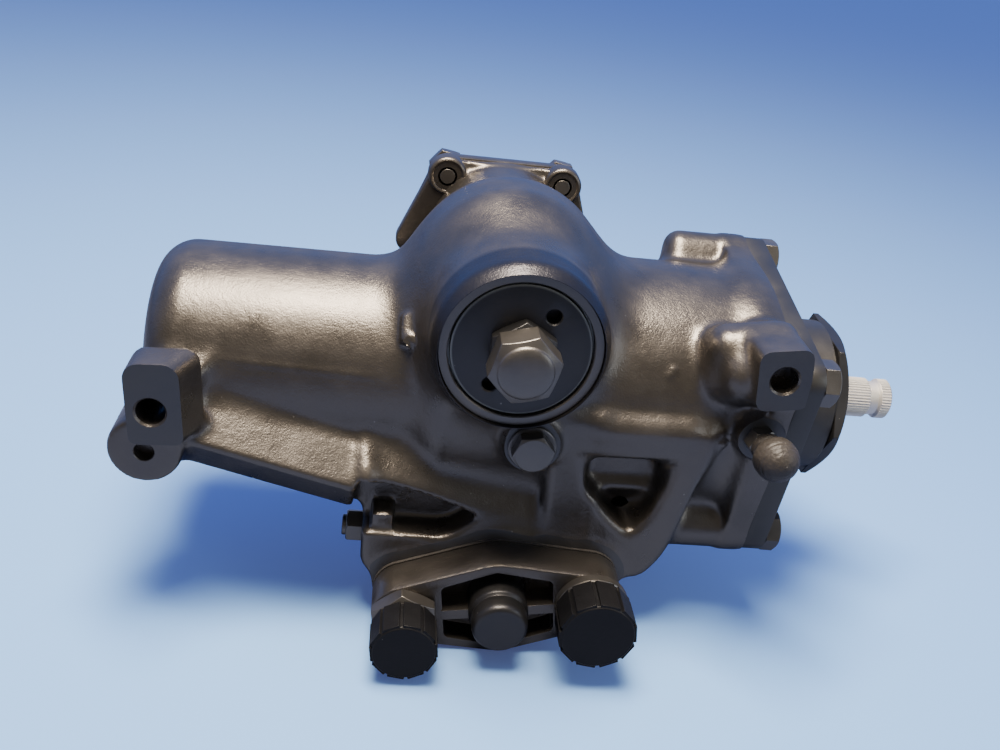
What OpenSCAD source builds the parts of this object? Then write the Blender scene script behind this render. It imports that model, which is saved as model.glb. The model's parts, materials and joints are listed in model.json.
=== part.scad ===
// Steering gearbox: recirculating-ball power steering gear with rack piston and sector shaft.
// Millimetres. X runs along the worm towards the input, Y along the sector shaft to the output, Z up.
// The origin lies on the sector axis where the output thread begins.

/* [Housing] */
// Sector axis above the worm axis
worm_drop = 50; // [49.5:0.1:51]
// Outer radius of the piston barrel
barrel_r = 52; // [51:0.5:54]
// Radius of the piston bore
bore_r = 42; // [41.6:0.1:43]
// Outer radius of the barrel at the input end
head_r = 61.5; // [60:0.5:62]
// Closed end of the barrel, from the sector axis
barrel_len = 165; // [163:0.5:169]
// Joint face of the end cover, from the sector axis
head_len = 129; // [128:0.5:132]
// Front rim of the sector neck, from the worm axis
neck_front = 87; // [86:0.5:89]
// Radius of the sector neck
neck_r = 40; // [39.5:0.1:42]
// Joint face of the rear cover, from the worm axis
neck_rear = 65.5; // [65:0.5:68]
// Half the spacing of the four rear cover bolts
ear_half = 30.3; // [30:0.1:31.5]

/* [Mounting lugs] */
// Slope of the lugs and ports against the worm axis
mount_tilt = 8; // [7.5:0.1:8.5]
// Left lug hole, from the sector axis
mount_left = 156.6; // [155:0.2:158]
// Right lug hole, from the sector axis
mount_right = 115; // [113:0.2:116]
// Row of the lug holes below the sector axis
mount_row = 22.4; // [21:0.2:24]
// Faces of the lugs in front of the worm axis
pad_front = 80; // [79:0.2:82]
// Radius of the tapped lug holes
mount_hole_r = 6.2; // [5.5:0.1:6.6]

/* [Ports] */
// Row of the ports below the sector axis
port_row = 131.5; // [130:0.2:133]
// Middle of the port block, from the sector axis
port_mid = -12.7; // [-14:0.1:-11]
// Half the spacing of the two ports
port_half = 43.7; // [42.5:0.1:45]
// Thickness of the port block
port_block_t = 20; // [18:0.5:21]

/* [End cover] */
// Thickness of the end cover plate
cover_t = 11; // [9.5:0.5:12]
// Half the height of the end cover's bolt rectangle
cover_half_h = 46.8; // [46:0.1:48]
// Half the width of the end cover's bolt rectangle
cover_half_w = 54.7; // [54:0.1:56]
// Turn of the bolt rectangle about the worm axis
cover_turn = 10.5; // [9:0.5:12]
// Radius of the cover's collar
collar_r = 38.5; // [36:0.5:40]
// Flats of the large lock ring
lock_ring_flats = 73; // [70:0.5:75]

/* [Gear] */
// Rack line above the worm axis
rack_height = 23.5; // [23.2:0.1:24]
// Half width of the sector teeth
sector_half = 24; // [22:0.5:24.5]
// Lead of the ball race
lead = 10; // [9.5:0.1:10.5]
// Radius of the bearing balls
ball_r = 2.4; // [2.2:0.05:2.5]
// Travel of the sector shaft to each side, degrees
sector_travel = 42; // [36:1:42]

/* [Shafts] */
// Radius of the sector shaft's journals
journal_r = 18; // [17:0.1:18.5]
// Radius of the thread on the output end
output_thread_r = 14; // [13:0.1:15]
// Length of the thread on the output end
output_thread_len = 24; // [20:1:28]
// Radius of the serrated input stub
stub_r = 10.4; // [10:0.1:10.8]
// Free end of the input stub, from the sector axis
stub_end = 208.5; // [206:0.5:214]

/* [Fits] */
// Running clearance of shafts and piston, on the radius
run_gap = 0.05; // [0.03:0.01:0.08]
// Seat clearance of pieces that do not move, on the radius
seat_gap = 0.05; // [0.03:0.01:0.1]
// Free clearance between pieces that must not touch
free_gap = 0.4; // [0.35:0.05:0.5]

/* [Hidden] */
$fn = 96;
cast_black = [0.07, 0.065, 0.06];
machined_black = [0.05, 0.05, 0.055];
bolt_black = [0.13, 0.13, 0.13];
cap_black = [0.04, 0.04, 0.04];
bare_steel = [0.62, 0.58, 0.52];
bright_steel = [0.68, 0.68, 0.7];
iron = [0.32, 0.31, 0.3];
rubber_black = [0.03, 0.03, 0.03];
gasket_grey = [0.2, 0.19, 0.18];

// Gear teeth: twelve on the full circle, five are there
full_teeth = 12;
pressure_angle = 25;
pitch_r = worm_drop - rack_height;
tooth_module = 2 * pitch_r / full_teeth;
tip_r = pitch_r + tooth_module;
root_r = pitch_r - 1.25 * tooth_module;
base_r = pitch_r * cos(pressure_angle);
rack_pitch = PI * tooth_module;
backlash = 0.24;
chamber_r = tip_r + 1.4;
chamber_half = sector_half + 1.5;

// Stations along the sector axis, from the worm axis
ear_front = neck_rear - 8;
ear_r = 9.6;
cover_disc_y = neck_front - 3;
cover_seat_y = cover_disc_y - 16;
disc_r = 30;
cover_r = 33;
rim_r = 37.5;
rim_cone = 1.6;
bearing_r = 23;
bearing_y = sqrt(pow(bore_r, 2) - pow(rack_height + tooth_module, 2)) + 1;
rear_plate_t = 8;
rear_hub_y = neck_rear + 16.5;
taper_y = rear_hub_y + 2;
taper_len = 36;
sector_front = cover_seat_y - 5;

// Stations along the worm axis
bore_end = barrel_len - 12;
race_half = 42;
worm_flange_x = 66;
rack_travel = pitch_r * sector_travel * PI / 180;
piston_left = rack_travel + 15.5 - bore_end;
piston_right = worm_flange_x - rack_travel - 2.5;
worm_flange_t = 8;
thrust_in_x = worm_flange_x + worm_flange_t;
spigot_x = thrust_in_x + 12;
cover_out = head_len + cover_t;
thrust_out_x = cover_out - 2;
valve_r = 22;
adjuster_r = 27;
adjuster_x = thrust_out_x + 11;
collar_end = cover_out + 25.7;
land_r = stub_r + 0.6;
land_end = collar_end + 8.5;
input_start = thrust_in_x + 5;
lock_ring_t = 6.3;

// Ball screw
ball_track_r = 11.6;
worm_r = 11;
nut_bore_r = ball_track_r + ball_r + 0.3;

// Port stations
port_face = 66.5;
gasket_t = 1.5;
block_back = port_face + gasket_t;
block_front = block_back + port_block_t;
tray_floor = block_front - 6;
bar_half = 25.5;
screw_base_r = 14;
port_l = port_mid - port_half;
port_r = port_mid + port_half;

// Plug and bleed stations
plug_at = [13, -53.5];
plug_face = 70.5;
bleed_at = [head_len - 12, -41.5];
bleed_face = 69.5;
side_plug_at = [-48, -117];
body_left = -60;

// Helpers: place children along the axes of the gear
module in_frame() translate([0, -taper_y - taper_len, 0]) children();
module along_x(x) translate([x, 0, -worm_drop]) rotate([0, 90, 0]) children();
module to_rear(y) translate([0, y, 0]) rotate([-90, 0, 0]) children();
module to_front(y) translate([0, -y, 0]) rotate([90, 0, 0]) children();
module across(x) translate([x, 0, 0]) rotate([90, 0, 90]) children();
module in_mount() rotate([0, -mount_tilt, 0]) children();
module at_cover_bolts() rotate(cover_turn) for (sx = [-1, 1], sy = [-1, 1])
    translate([sx * cover_half_h, sy * cover_half_w, 0]) children();
module at_ears() for (sx = [-1, 1], sz = [-1, 1]) translate([sx * ear_half, 0, sz * ear_half]) children();

module ring(r_out, r_in, h) difference() {
    cylinder(h = h, r = r_out);
    translate([0, 0, -1]) cylinder(h = h + 2, r = r_in);
}

module torus(r, section) rotate_extrude() translate([r, 0]) circle(section, $fn = 32);

module hexagon(flats, h, turn = 0) rotate(turn) cylinder(h = h, r = flats / sqrt(3), $fn = 6);

module round_rect(w, h, r) {
    square([w - 2 * r, h], center = true);
    square([w, h - 2 * r], center = true);
    for (sx = [-1, 1], sy = [-1, 1]) translate([sx * (w / 2 - r), sy * (h / 2 - r)]) circle(r);
}

// Two circles with their outer tangents
function tangents(p, r, q, s) = let (
    d = norm(q - p),
    a = atan2(q[1] - p[1], q[0] - p[0]),
    b = acos((r - s) / d)
) [
    p + r * [cos(a + b), sin(a + b)],
    q + s * [cos(a + b), sin(a + b)],
    q + s * [cos(a - b), sin(a - b)],
    p + r * [cos(a - b), sin(a - b)]
];

// Cylinder with its lower edge rounded
module round_end(r, h, edge) rotate_extrude() {
    square([r - edge, h]);
    translate([0, edge]) square([r, h - edge]);
    translate([r - edge, edge]) intersection() {
        circle(edge);
        translate([0, -edge]) square(edge);
    }
}

// Casting: barrel with its rounded closed end and the wider input end
module barrel_body() {
    along_x(-barrel_len) round_end(barrel_r, barrel_len, 18);
    along_x(-52) cylinder(h = 40, r1 = barrel_r - 0.5, r2 = head_r);
    along_x(-12) cylinder(h = head_len + 12, r = head_r);
}

// Casting: sector neck, turned about the sector axis
module neck_body() to_rear(0) rotate_extrude() polygon([
    [0, -neck_front],
    [rim_r - rim_cone, -neck_front],
    [rim_r, -neck_front + 4 * rim_cone],
    [rim_r, -neck_front + 14],
    [neck_r + 1, -neck_front + 26],
    [neck_r + 1, -neck_front + 60],
    [neck_r - 1.5, ear_front],
    [neck_r - 1.5, neck_rear],
    [0, neck_rear]
]);

// Casting: fillet where the neck leaves the barrel or the head. It is turned about an axis above the worm,
// so that it fades out down the sides, and its edges lie a little inside both bodies
module neck_fillet(side, body_r, fillet_r) {
    rise = 14;
    inside = 0.5;
    meet_r = neck_r - 1;
    crown = body_r - worm_drop;
    turn_r = body_r - rise;
    end_x = sqrt(pow(meet_r + fillet_r, 2) - pow(crown + fillet_r, 2));
    top = meet_r * (crown + fillet_r) / (meet_r + fillet_r);
    translate([0, 0, rise - worm_drop]) rotate([0, side * 90, 0]) rotate_extrude() difference() {
        translate([0, meet_r / 2]) square([turn_r + top - crown, end_x - meet_r / 2]);
        translate([turn_r + fillet_r - inside, end_x]) circle(fillet_r);
    }
}

// Casting: rear flange with four ears, thin between them, and the gussets down to the barrel
module rear_flange() {
    side = 2 * (ear_half + ear_r);
    difference() {
        to_rear(ear_front) linear_extrude(neck_rear - ear_front) round_rect(side, side, ear_r);
        for (k = [0:3]) rotate([0, 90 * k, 0]) translate([-19, ear_front - 1, neck_r - 8])
            cube([38, 5.5, 20]);
    }
    translate([0, neck_rear - 2, 0]) rotate([90, 0, 0]) linear_extrude(6)
        polygon([[-39.5, 31], [-54, -6], [-30, -40], [30, -40], [50, -6], [39.5, 31]]);
}

// Casting: end flange with a boss behind each bolt
module end_plate(x, t) {
    corner_r = 10.5;
    along_x(x) linear_extrude(t) rotate(cover_turn)
        round_rect(2 * (cover_half_h + corner_r), 2 * (cover_half_w + corner_r), corner_r);
}

module end_flange() {
    end_plate(head_len - 13, 13);
    boss_r = 10.8;
    boss_len = [[-1, 1, 42], [-1, -1, 38], [1, -1, 30], [1, 1, 34]];
    for (b = boss_len) along_x(head_len - b[2]) rotate(cover_turn)
        translate([b[0] * cover_half_h, b[1] * cover_half_w, 0]) round_end(boss_r, b[2] - 1, 8);
}

// Casting: left lug with its pad and the round boss below it
module left_lug() {
    pad_turn = 5;
    hull() {
        in_mount() to_front(pad_front - 1) translate([1.5 - mount_left, 1.5 - mount_row]) rotate(-pad_turn)
            linear_extrude(1) round_rect(23, 42, 6, $fn = 24);
        in_mount() to_front(38) translate([-mount_left + 10, -mount_row - 4]) rotate(-pad_turn)
            linear_extrude(1) round_rect(26, 42, 8, $fn = 24);
    }
    to_front(30) translate([-157, -68]) cylinder(h = 42, r = 16.5);
}

// Casting: sloping arm from the left lug to the port boss, with its flat pad
module arm() hull() {
    across(-144) linear_extrude(1) polygon([[-30, -40], [-53, -45], [-70, -62], [-57, -80.5], [-30, -80]]);
    across(-62) linear_extrude(1) polygon([[-30, -62], [-53, -68.5], [-70, -83], [-57, -100.5], [-30, -101]]);
}

// Rhombic plate of the port block, gasket and port boss: a round end at each port and a wider middle
port_ends = [[port_l, 15.5], [port_mid, 25.3], [port_r, 15.5]];
module port_plate(y, h, ends = port_ends) in_mount() to_front(y) translate([0, -port_row, 0]) {
    inset = 0.05;
    for (e = ends) translate([e[0], 0, 0]) cylinder(h = h, r = e[1]);
    for (k = [0, 1]) linear_extrude(h) polygon(tangents(
        [ends[k][0], 0], ends[k][1] - inset, [ends[k + 1][0], 0], ends[k + 1][1] - inset
    ));
}

// Casting: wall below the barrel that carries the port boss, with the strut and its pocket
module lower_body() {
    difference() {
        union() {
            to_front(8) linear_extrude(52) polygon([
                [-36, -46], [body_left, -64], [body_left, -128], [-40, -140], [50, -126], [60, -126],
                [73, -123], [83, -106], [96, -57], [95, -44], [40, -44]
            ]);
            to_front(31) linear_extrude(34.4) polygon([
                [45, -42], [45, -127], [61, -129.5], [75, -127], [86, -109],
                [92, -68], [98, -57], [98, -46], [95, -42]
            ]);
        }
        to_front(44) linear_extrude(30)
            polygon([[48, -59.5], [83, -56], [73, -102.5], [64, -99], [53, -77]]);
        to_front(52) linear_extrude(20)
            polygon([[-62, -80], [-34, -84], [-7, -96], [-20, -108], [-50, -108]]);
        to_front(36) translate([63, -94]) cylinder(h = 30, r = 5.5);
    }
    port_plate(26, port_face - 26);
    to_front(40) translate(plug_at) cylinder(h = plug_face - 40, r = 12);
}

// Casting: right lug, bleed boss and the rib between neck and lug
module right_side() {
    difference() {
        in_mount() to_front(50) translate([mount_right, -mount_row]) linear_extrude(pad_front - 50)
            round_rect(24, 29, 5);
        translate([head_len, -100, -100]) cube([30, 100, 120]);
    }
    to_front(40) translate(bleed_at) cylinder(h = bleed_face - 40, r = 10);
    translate([91, -59.2, -41.6]) rotate([0, -90, 0]) round_end(6.5, 52, 5);
}

// Bores, joint faces and holes of the casting
module housing_cuts() {
    along_x(-bore_end) cylinder(h = bore_end + head_len + 1, r = bore_r);
    to_front(cover_disc_y - 3.9) cylinder(h = 30, r = cover_r + 2);
    to_front(cover_seat_y) cylinder(h = 30, r = cover_r);
    to_front(chamber_half - 1) cylinder(h = neck_front, r = bearing_r);
    to_rear(-chamber_half) cylinder(h = 2 * chamber_half, r = chamber_r);
    to_rear(0) cylinder(h = neck_rear + 1, r = bearing_r);
    to_rear(neck_rear - 7) cylinder(h = 10, r = 27);
    at_ears() to_rear(ear_front - 1) cylinder(h = 20, r = 5);
    for (hole = [[-mount_left, 28], [mount_right, 11]]) in_mount() to_front(pad_front - hole[1])
        translate([hole[0], -mount_row]) cylinder(h = 60, r = mount_hole_r);
    to_front(50) translate(plug_at) cylinder(h = 40, r = 6);
    to_front(45) translate(bleed_at) cylinder(h = 40, r = 4);
    translate([body_left - 10, side_plug_at[0], side_plug_at[1]]) rotate([0, 90, 0])
        cylinder(h = 26, r = 5);
    along_x(head_len - 25) at_cover_bolts() cylinder(h = 30, r = 6);
    in_mount() {
        for (u = [port_l, port_r]) {
            to_front(34) translate([u, -port_row]) cylinder(h = 60, r = 5);
            translate([u, -39, -port_row]) cylinder(h = 62, r = 4);
        }
        to_front(46) translate([port_mid, -port_row]) cylinder(h = 40, r = 6);
    }
}

module housing() color(cast_black) in_frame() difference() {
    union() {
        barrel_body();
        neck_body();
        neck_fillet(-1, barrel_r, 18);
        neck_fillet(1, head_r, 16);
        rear_flange();
        end_flange();
        left_lug();
        arm();
        lower_body();
        right_side();
    }
    housing_cuts();
}

// End cover: plate, spigot in the bore and collar for the adjuster
module end_cover() color(machined_black) in_frame() difference() {
    union() {
        end_plate(head_len, cover_t);
        along_x(spigot_x) cylinder(h = head_len - spigot_x + 1, r = bore_r - seat_gap);
        along_x(cover_out - 1) cylinder(h = collar_end - cover_out + 1, r = collar_r);
    }
    along_x(spigot_x - 1) cylinder(h = 100, r = valve_r + run_gap);
    along_x(thrust_out_x) cylinder(h = 60, r = adjuster_r + seat_gap);
    along_x(head_len - 8) ring(bore_r + 1, bore_r - 3.2, 4);
    along_x(head_len - 1) at_cover_bolts() cylinder(h = cover_t + 2, r = 6.4);
}

module end_cover_bolts() color(bolt_black) in_frame() along_x(cover_out) at_cover_bolts() {
    hexagon(19, 7.5, 20);
    translate([0, 0, -cover_t - 20]) cylinder(h = cover_t + 21, r = 6 - seat_gap);
}

module end_cover_seal() color(rubber_black) in_frame() along_x(head_len - 6) torus(bore_r - 1.6, 1.5);

module worm_adjuster() color(machined_black) in_frame() difference() {
    along_x(adjuster_x) cylinder(h = collar_end + 8 - adjuster_x, r = adjuster_r);
    along_x(adjuster_x - 1) cylinder(h = 60, r = land_r + free_gap);
    along_x(collar_end) cylinder(h = 20, r = 18);
}

module lock_ring() color(machined_black) in_frame() along_x(collar_end) difference() {
    hexagon(lock_ring_flats, lock_ring_t, 34);
    translate([0, 0, -1]) cylinder(h = 20, r = adjuster_r + seat_gap);
}

module input_seal() color(rubber_black) in_frame() along_x(collar_end + seat_gap)
    ring(18 - seat_gap, land_r + run_gap, 7.5);

// Thrust bearings: two races with balls between them
module thrust_bearing(t, r_in, r_out, balls) {
    ring(r_out, r_in, 3);
    translate([0, 0, t - 3]) ring(r_out, r_in, 3);
    for (k = [0:balls - 1]) rotate(360 * k / balls) translate([(r_in + r_out) / 2, 0, t / 2])
        sphere(t / 2 - 3 - seat_gap, $fn = 24);
}

module inner_thrust_bearing() color(bright_steel) in_frame() along_x(thrust_in_x + seat_gap)
    thrust_bearing(spigot_x - thrust_in_x - 2 * seat_gap, valve_r + 0.9, 36, 14);

module outer_thrust_bearing() color(bright_steel) in_frame() along_x(thrust_out_x + seat_gap)
    thrust_bearing(adjuster_x - thrust_out_x - 2 * seat_gap, land_r + free_gap, adjuster_r - seat_gap, 12);

// Front cover: disc with two pin holes, sealed and held by a ring
module front_cover() color(machined_black) in_frame() difference() {
    union() {
        to_front(cover_seat_y) cylinder(h = 12, r = cover_r - seat_gap);
        to_front(cover_seat_y + 11) cylinder(h = 5, r = disc_r);
    }
    to_front(cover_seat_y - 1) cylinder(h = 30, r = 8 + seat_gap);
    to_front(cover_seat_y + 3) ring(cover_r + 1, cover_r - 3.2, 4);
    for (a = [55, 235]) to_front(cover_disc_y - 7) rotate(a) translate([20, 0, 0])
        cylinder(h = 10, r = 3.25);
}

module front_cover_ring() color(bolt_black) in_frame() to_front(cover_disc_y - 3.8)
    ring(cover_r + 2 - seat_gap, disc_r + 0.8, 4.6);

module front_cover_seal() color(rubber_black) in_frame() to_front(cover_seat_y + 5)
    torus(cover_r - 1.6, 1.5);

// Adjusting screw: its head turns free in the end of the sector shaft
module adjusting_screw() color(bright_steel) in_frame() {
    to_front(sector_front - 11) cylinder(h = 4, r = 8.6);
    to_front(sector_front - 8) cylinder(h = 14, r = 5);
    to_front(sector_front + 5) cylinder(h = cover_disc_y + 19 - sector_front - 5, r = 8);
}

module screw_retainer() color(bright_steel) in_frame() to_front(sector_front - 5)
    ring(9 - seat_gap, 5 + free_gap, 4.5);

module lock_nut() color(machined_black) in_frame() to_front(cover_disc_y) difference() {
    hexagon(27, 7, 30);
    translate([0, 0, -1]) cylinder(h = 10, r = 8 + seat_gap);
}

module cap_nut() color(machined_black) in_frame() to_front(cover_disc_y + 7) difference() {
    intersection() {
        hexagon(27, 16.6, 15);
        cylinder(h = 16.6, r1 = 24, r2 = 14.4);
    }
    translate([0, 0, -1]) cylinder(h = 14, r = 8 + seat_gap);
}

module front_bearing() color(bright_steel) in_frame() to_front(bearing_y)
    ring(bearing_r - seat_gap, journal_r + run_gap, sector_front - 1.5 - bearing_y);

module rear_bearing() color(bright_steel) in_frame() to_rear(bearing_y)
    ring(bearing_r - seat_gap, journal_r + run_gap, neck_rear - 8 - bearing_y);

// Rear cover on the output side with its seal
module rear_cover() color(cast_black) in_frame() difference() {
    plate_r = ear_r - 1;
    side = 2 * (ear_half + plate_r);
    union() {
        to_rear(neck_rear) linear_extrude(rear_plate_t) round_rect(side, side, plate_r);
        to_rear(neck_rear - 6.5) cylinder(h = 7, r = 27 - seat_gap);
        to_rear(neck_rear + rear_plate_t - 1)
            cylinder(h = rear_hub_y - neck_rear - rear_plate_t + 1, r1 = 32, r2 = 30);
    }
    to_rear(neck_rear - 10) cylinder(h = 60, r = journal_r + free_gap);
    to_rear(rear_hub_y - 10) cylinder(h = 20, r = 25);
    to_rear(neck_rear - 5) ring(28, 27 - 3.2, 4);
    at_ears() to_rear(neck_rear - 1) cylinder(h = 20, r = 5.3);
}

module rear_cover_bolts() color(bolt_black) in_frame() at_ears() to_rear(neck_rear + rear_plate_t) {
    hexagon(17, 6.4, 10);
    translate([0, 0, -rear_plate_t - 7]) cylinder(h = rear_plate_t + 8, r = 5 - seat_gap);
}

module rear_cover_seal() color(rubber_black) in_frame() to_rear(neck_rear - 3) torus(27 - 1.6, 1.5);

module output_seal() color(rubber_black) in_frame() to_rear(rear_hub_y - 10 + seat_gap)
    ring(25 - seat_gap, journal_r + run_gap, 9.5);

// Sector shaft: five involute teeth, journals, taper and thread
function involute(a) = tan(a) * 180 / PI - a;
function flank_angle(r) = 90 / full_teeth - backlash / 2 / pitch_r * 90 / PI
    + involute(pressure_angle) - involute(acos(min(1, base_r / r)));
tooth_steps = 6;
tooth_radii = [for (k = [0:tooth_steps]) base_r + (tip_r - base_r) * k / tooth_steps];

module sector_tooth() polygon(concat(
    [(root_r - 2) * [cos(flank_angle(base_r)), -sin(flank_angle(base_r))]],
    [for (r = tooth_radii) r * [cos(flank_angle(r)), -sin(flank_angle(r))]],
    [for (k = [tooth_steps:-1:0]) let (r = tooth_radii[k]) r * [cos(flank_angle(r)), sin(flank_angle(r))]],
    [(root_r - 2) * [cos(flank_angle(base_r)), sin(flank_angle(base_r))]]
));

module sector_shaft() color(bright_steel) in_frame() difference() {
    union() {
        to_front(sector_half) mirror([0, 0, 1]) linear_extrude(2 * sector_half) {
            circle(root_r);
            for (k = [-2:2]) rotate(-90 + 360 / full_teeth * k) sector_tooth();
        }
        to_front(sector_half - 1) cylinder(h = sector_front - sector_half + 1, r = journal_r);
        to_rear(sector_half - 1) cylinder(h = taper_y - sector_half + 1, r = journal_r);
        to_rear(taper_y) cylinder(h = taper_len, r1 = journal_r, r2 = journal_r - 2);
        to_rear(taper_y + taper_len - 1) cylinder(h = output_thread_len + 1, r = output_thread_r);
    }
    to_front(sector_front - 12) cylinder(h = 20, r = 9);
}

// Rack piston: rack on top, bore for the worm, groove for its ring
module rack_piston() color(iron) in_frame() difference() {
    along_x(piston_left) cylinder(h = piston_right - piston_left, r = bore_r - run_gap);
    translate([-57, -bore_r - 1, -worm_drop + rack_height + tooth_module])
        cube([piston_right + 60, 2 * bore_r + 2, bore_r]);
    for (k = [-2:2]) translate([k * rack_pitch, bore_r + 1, -worm_drop + rack_height]) rotate([90, 0, 0])
        linear_extrude(2 * bore_r + 2) rack_space();
    along_x(-72) cylinder(h = 200, r = nut_bore_r);
    along_x(piston_left + 10) ring(bore_r + 1, bore_r - 4, 3.2);
    translate([0, 0, -worm_drop]) tube_way(tube_r + seat_gap, bore_r);
}

module rack_space() {
    half = rack_pitch / 4 + backlash / 4;
    slope = tan(pressure_angle);
    top = tooth_module + 1;
    bottom = 1.25 * tooth_module;
    polygon([
        [-half - top * slope, top],
        [-half + bottom * slope, -bottom],
        [half - bottom * slope, -bottom],
        [half + top * slope, top]
    ]);
}

module piston_ring() color(bright_steel) in_frame() along_x(piston_left + 10.1)
    ring(bore_r - run_gap / 2, bore_r - 3.9, 3);

// Bearing balls: on the helix of the race
ball_turns = 2.5;
balls_per_turn = 14;
module balls() color(bright_steel) in_frame() along_x(0)
    for (k = [0:ball_turns * balls_per_turn]) let (t = k / balls_per_turn - ball_turns / 2)
        rotate(360 * t) translate([-ball_track_r, 0, lead * t]) sphere(ball_r, $fn = 24);

// Return tube: a bridge outside the nut bore with a leg at each end
tube_r = 3.4;
tube_half = 14;
tube_deep = 32;
module tube_way(r, deep) {
    for (x = [-tube_half, tube_half]) translate([x, 0, -deep])
        cylinder(h = deep - nut_bore_r - 0.5, r = r, $fn = 32);
    translate([-tube_half, -r, -deep]) cube([2 * tube_half, 2 * r, deep - tube_deep + r]);
}
module return_tube() color(bright_steel) in_frame() translate([0, 0, -worm_drop]) {
    for (x = [-tube_half, tube_half]) translate([x, 0, -tube_deep]) {
        cylinder(h = tube_deep - nut_bore_r - 0.5, r = tube_r, $fn = 32);
        sphere(tube_r, $fn = 32);
    }
    translate([-tube_half, 0, -tube_deep]) rotate([0, 90, 0])
        cylinder(h = 2 * tube_half, r = tube_r, $fn = 32);
}

// Worm shaft: helical ball race, bearing flange and valve body
race_points = 20;
function race_r(a) = let (s = lead * (a > 180 ? a - 360 : a) / 360)
    abs(s) < ball_r + 0.2 ? ball_track_r - sqrt(pow(ball_r + 0.3, 2) - s * s) : worm_r;

module worm_shaft() color(bright_steel) in_frame() difference() {
    union() {
        along_x(-race_half) linear_extrude(2 * race_half, twist = -720 * race_half / lead,
            slices = 2 * race_half / lead * race_points, $fn = race_points)
            rotate(180 - 360 * race_half / lead) polygon([for (k = [0:race_points - 1])
                let (a = 360 * k / race_points) race_r(a) * [cos(a), sin(a)]]);
        along_x(-race_half - 4) cylinder(h = 5, r = 8.6);
        along_x(race_half - 1) cylinder(h = worm_flange_x - race_half + 2, r = 8.6);
        along_x(worm_flange_x) cylinder(h = worm_flange_t, r = 27);
        along_x(worm_flange_x + 1) cylinder(h = thrust_out_x - worm_flange_x - 1, r = valve_r);
    }
    along_x(-20) cylinder(h = 300, r = 4.4);
    along_x(thrust_in_x + 4) cylinder(h = 200, r = land_r + seat_gap);
}

// Input shaft: stub with two serrated bands and a groove
module input_shaft() color(bare_steel) in_frame() difference() {
    along_x(0) rotate_extrude() polygon([
        [0, input_start],
        [land_r, input_start],
        [land_r, land_end],
        [stub_r, land_end],
        [stub_r, stub_end - 12],
        [stub_r - 1.6, stub_end - 11],
        [stub_r - 1.6, stub_end - 7],
        [stub_r, stub_end - 6],
        [stub_r, stub_end - 1],
        [stub_r - 1, stub_end],
        [0, stub_end]
    ]);
    along_x(input_start - 1) cylinder(h = stub_end - 21 - input_start, r = 4.4);
}

module torsion_bar() color(bright_steel) in_frame() along_x(-19.9)
    cylinder(h = stub_end - 22.2 + 19.9, r = 4.4 - seat_gap);

// Port block with its gasket, unions, caps and screw
module at_port(u) in_mount() to_front(0) translate([u, -port_row, 0]) children();

module port_gasket() color(gasket_grey) in_frame() difference() {
    port_plate(port_face, gasket_t);
    for (u = [port_l, port_mid, port_r]) at_port(u) translate([0, 0, port_face - 1])
        cylinder(h = 10, r = 7);
}

module port_block() color(cast_black) in_frame() difference() {
    union() {
        difference() {
            port_plate(block_back, port_block_t);
            port_plate(tray_floor, 20, [[port_mid - 17, 8.5], [port_mid, 21.3], [port_mid + 17, 8.5]]);
        }
        at_port(port_mid) difference() {
            translate([-bar_half, -5, tray_floor - 1])
                cube([2 * bar_half, 8, block_front + 2 - tray_floor]);
            translate([0, 0, tray_floor - 2]) cylinder(h = 20, r = screw_base_r + seat_gap);
        }
    }
    at_port(port_l) translate([0, 0, block_back - 1]) cylinder(h = 60, r = 8);
    at_port(port_r) translate([0, 0, block_back - 1]) cylinder(h = 60, r = 10);
    at_port(port_mid) translate([0, 0, block_back - 1]) cylinder(h = 60, r = 6.4);
}

module port_screw() color(machined_black) in_frame() at_port(port_mid) {
    translate([0, 0, tray_floor]) cylinder(h = block_front + 5 - tray_floor, r = screw_base_r);
    translate([0, 0, block_front + 4]) rotate_extrude() {
        square([9.5, 11]);
        square([12.5, 8]);
        translate([9.5, 8]) intersection() {
            circle(3);
            square(3);
        }
    }
    translate([0, 0, port_face - 18]) cylinder(h = port_block_t + gasket_t + 19, r = 6 - seat_gap);
}

module pressure_union() color(bolt_black) in_frame() at_port(port_l) difference() {
    union() {
        translate([0, 0, block_front]) hexagon(29, 8.5, 30);
        translate([0, 0, block_front - 12]) cylinder(h = 13, r = 8 - seat_gap);
        translate([0, 0, block_front + 8]) cylinder(h = 12, r = 11);
    }
    translate([0, 0, block_front - 20]) cylinder(h = 60, r = 5);
}

module return_union() color(bolt_black) in_frame() at_port(port_r) difference() {
    union() {
        translate([0, 0, block_front]) cylinder(h = 5, r = 17.5);
        translate([0, 0, block_front - 12]) cylinder(h = 13, r = 10 - seat_gap);
        translate([0, 0, block_front + 4]) cylinder(h = 14, r = 13);
    }
    translate([0, 0, block_front - 20]) cylinder(h = 60, r = 6.5);
}

// Ribbed shipping cap, open towards the union
module shipping_cap(r_out, r_in, h, ribs) difference() {
    rib_w = 1.44 * PI * r_out / ribs;
    union() {
        cylinder(h = h, r = r_out - 0.9);
        for (k = [0:ribs - 1]) rotate(360 * (k + 0.5) / ribs) intersection() {
            translate([0, -rib_w / 2, 0]) cube([r_out + 5, rib_w, h - 1]);
            cylinder(h = h, r = r_out);
        }
    }
    translate([0, 0, -1]) cylinder(h = h - 2.5, r = r_in);
}

module pressure_cap() color(cap_black) in_frame() at_port(port_l) translate([0, 0, block_front + 8.5])
    shipping_cap(15.4, 11 + seat_gap, 17.5, 10);

module return_cap() color(cap_black) in_frame() at_port(port_r) translate([0, 0, block_front + 5])
    shipping_cap(18, 13 + seat_gap, 18.5, 10);

// Plugs and bleed screw
module plug_washer() color(bolt_black) in_frame() to_front(plug_face) translate(plug_at)
    ring(11, 6.05, 1.6);

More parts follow.
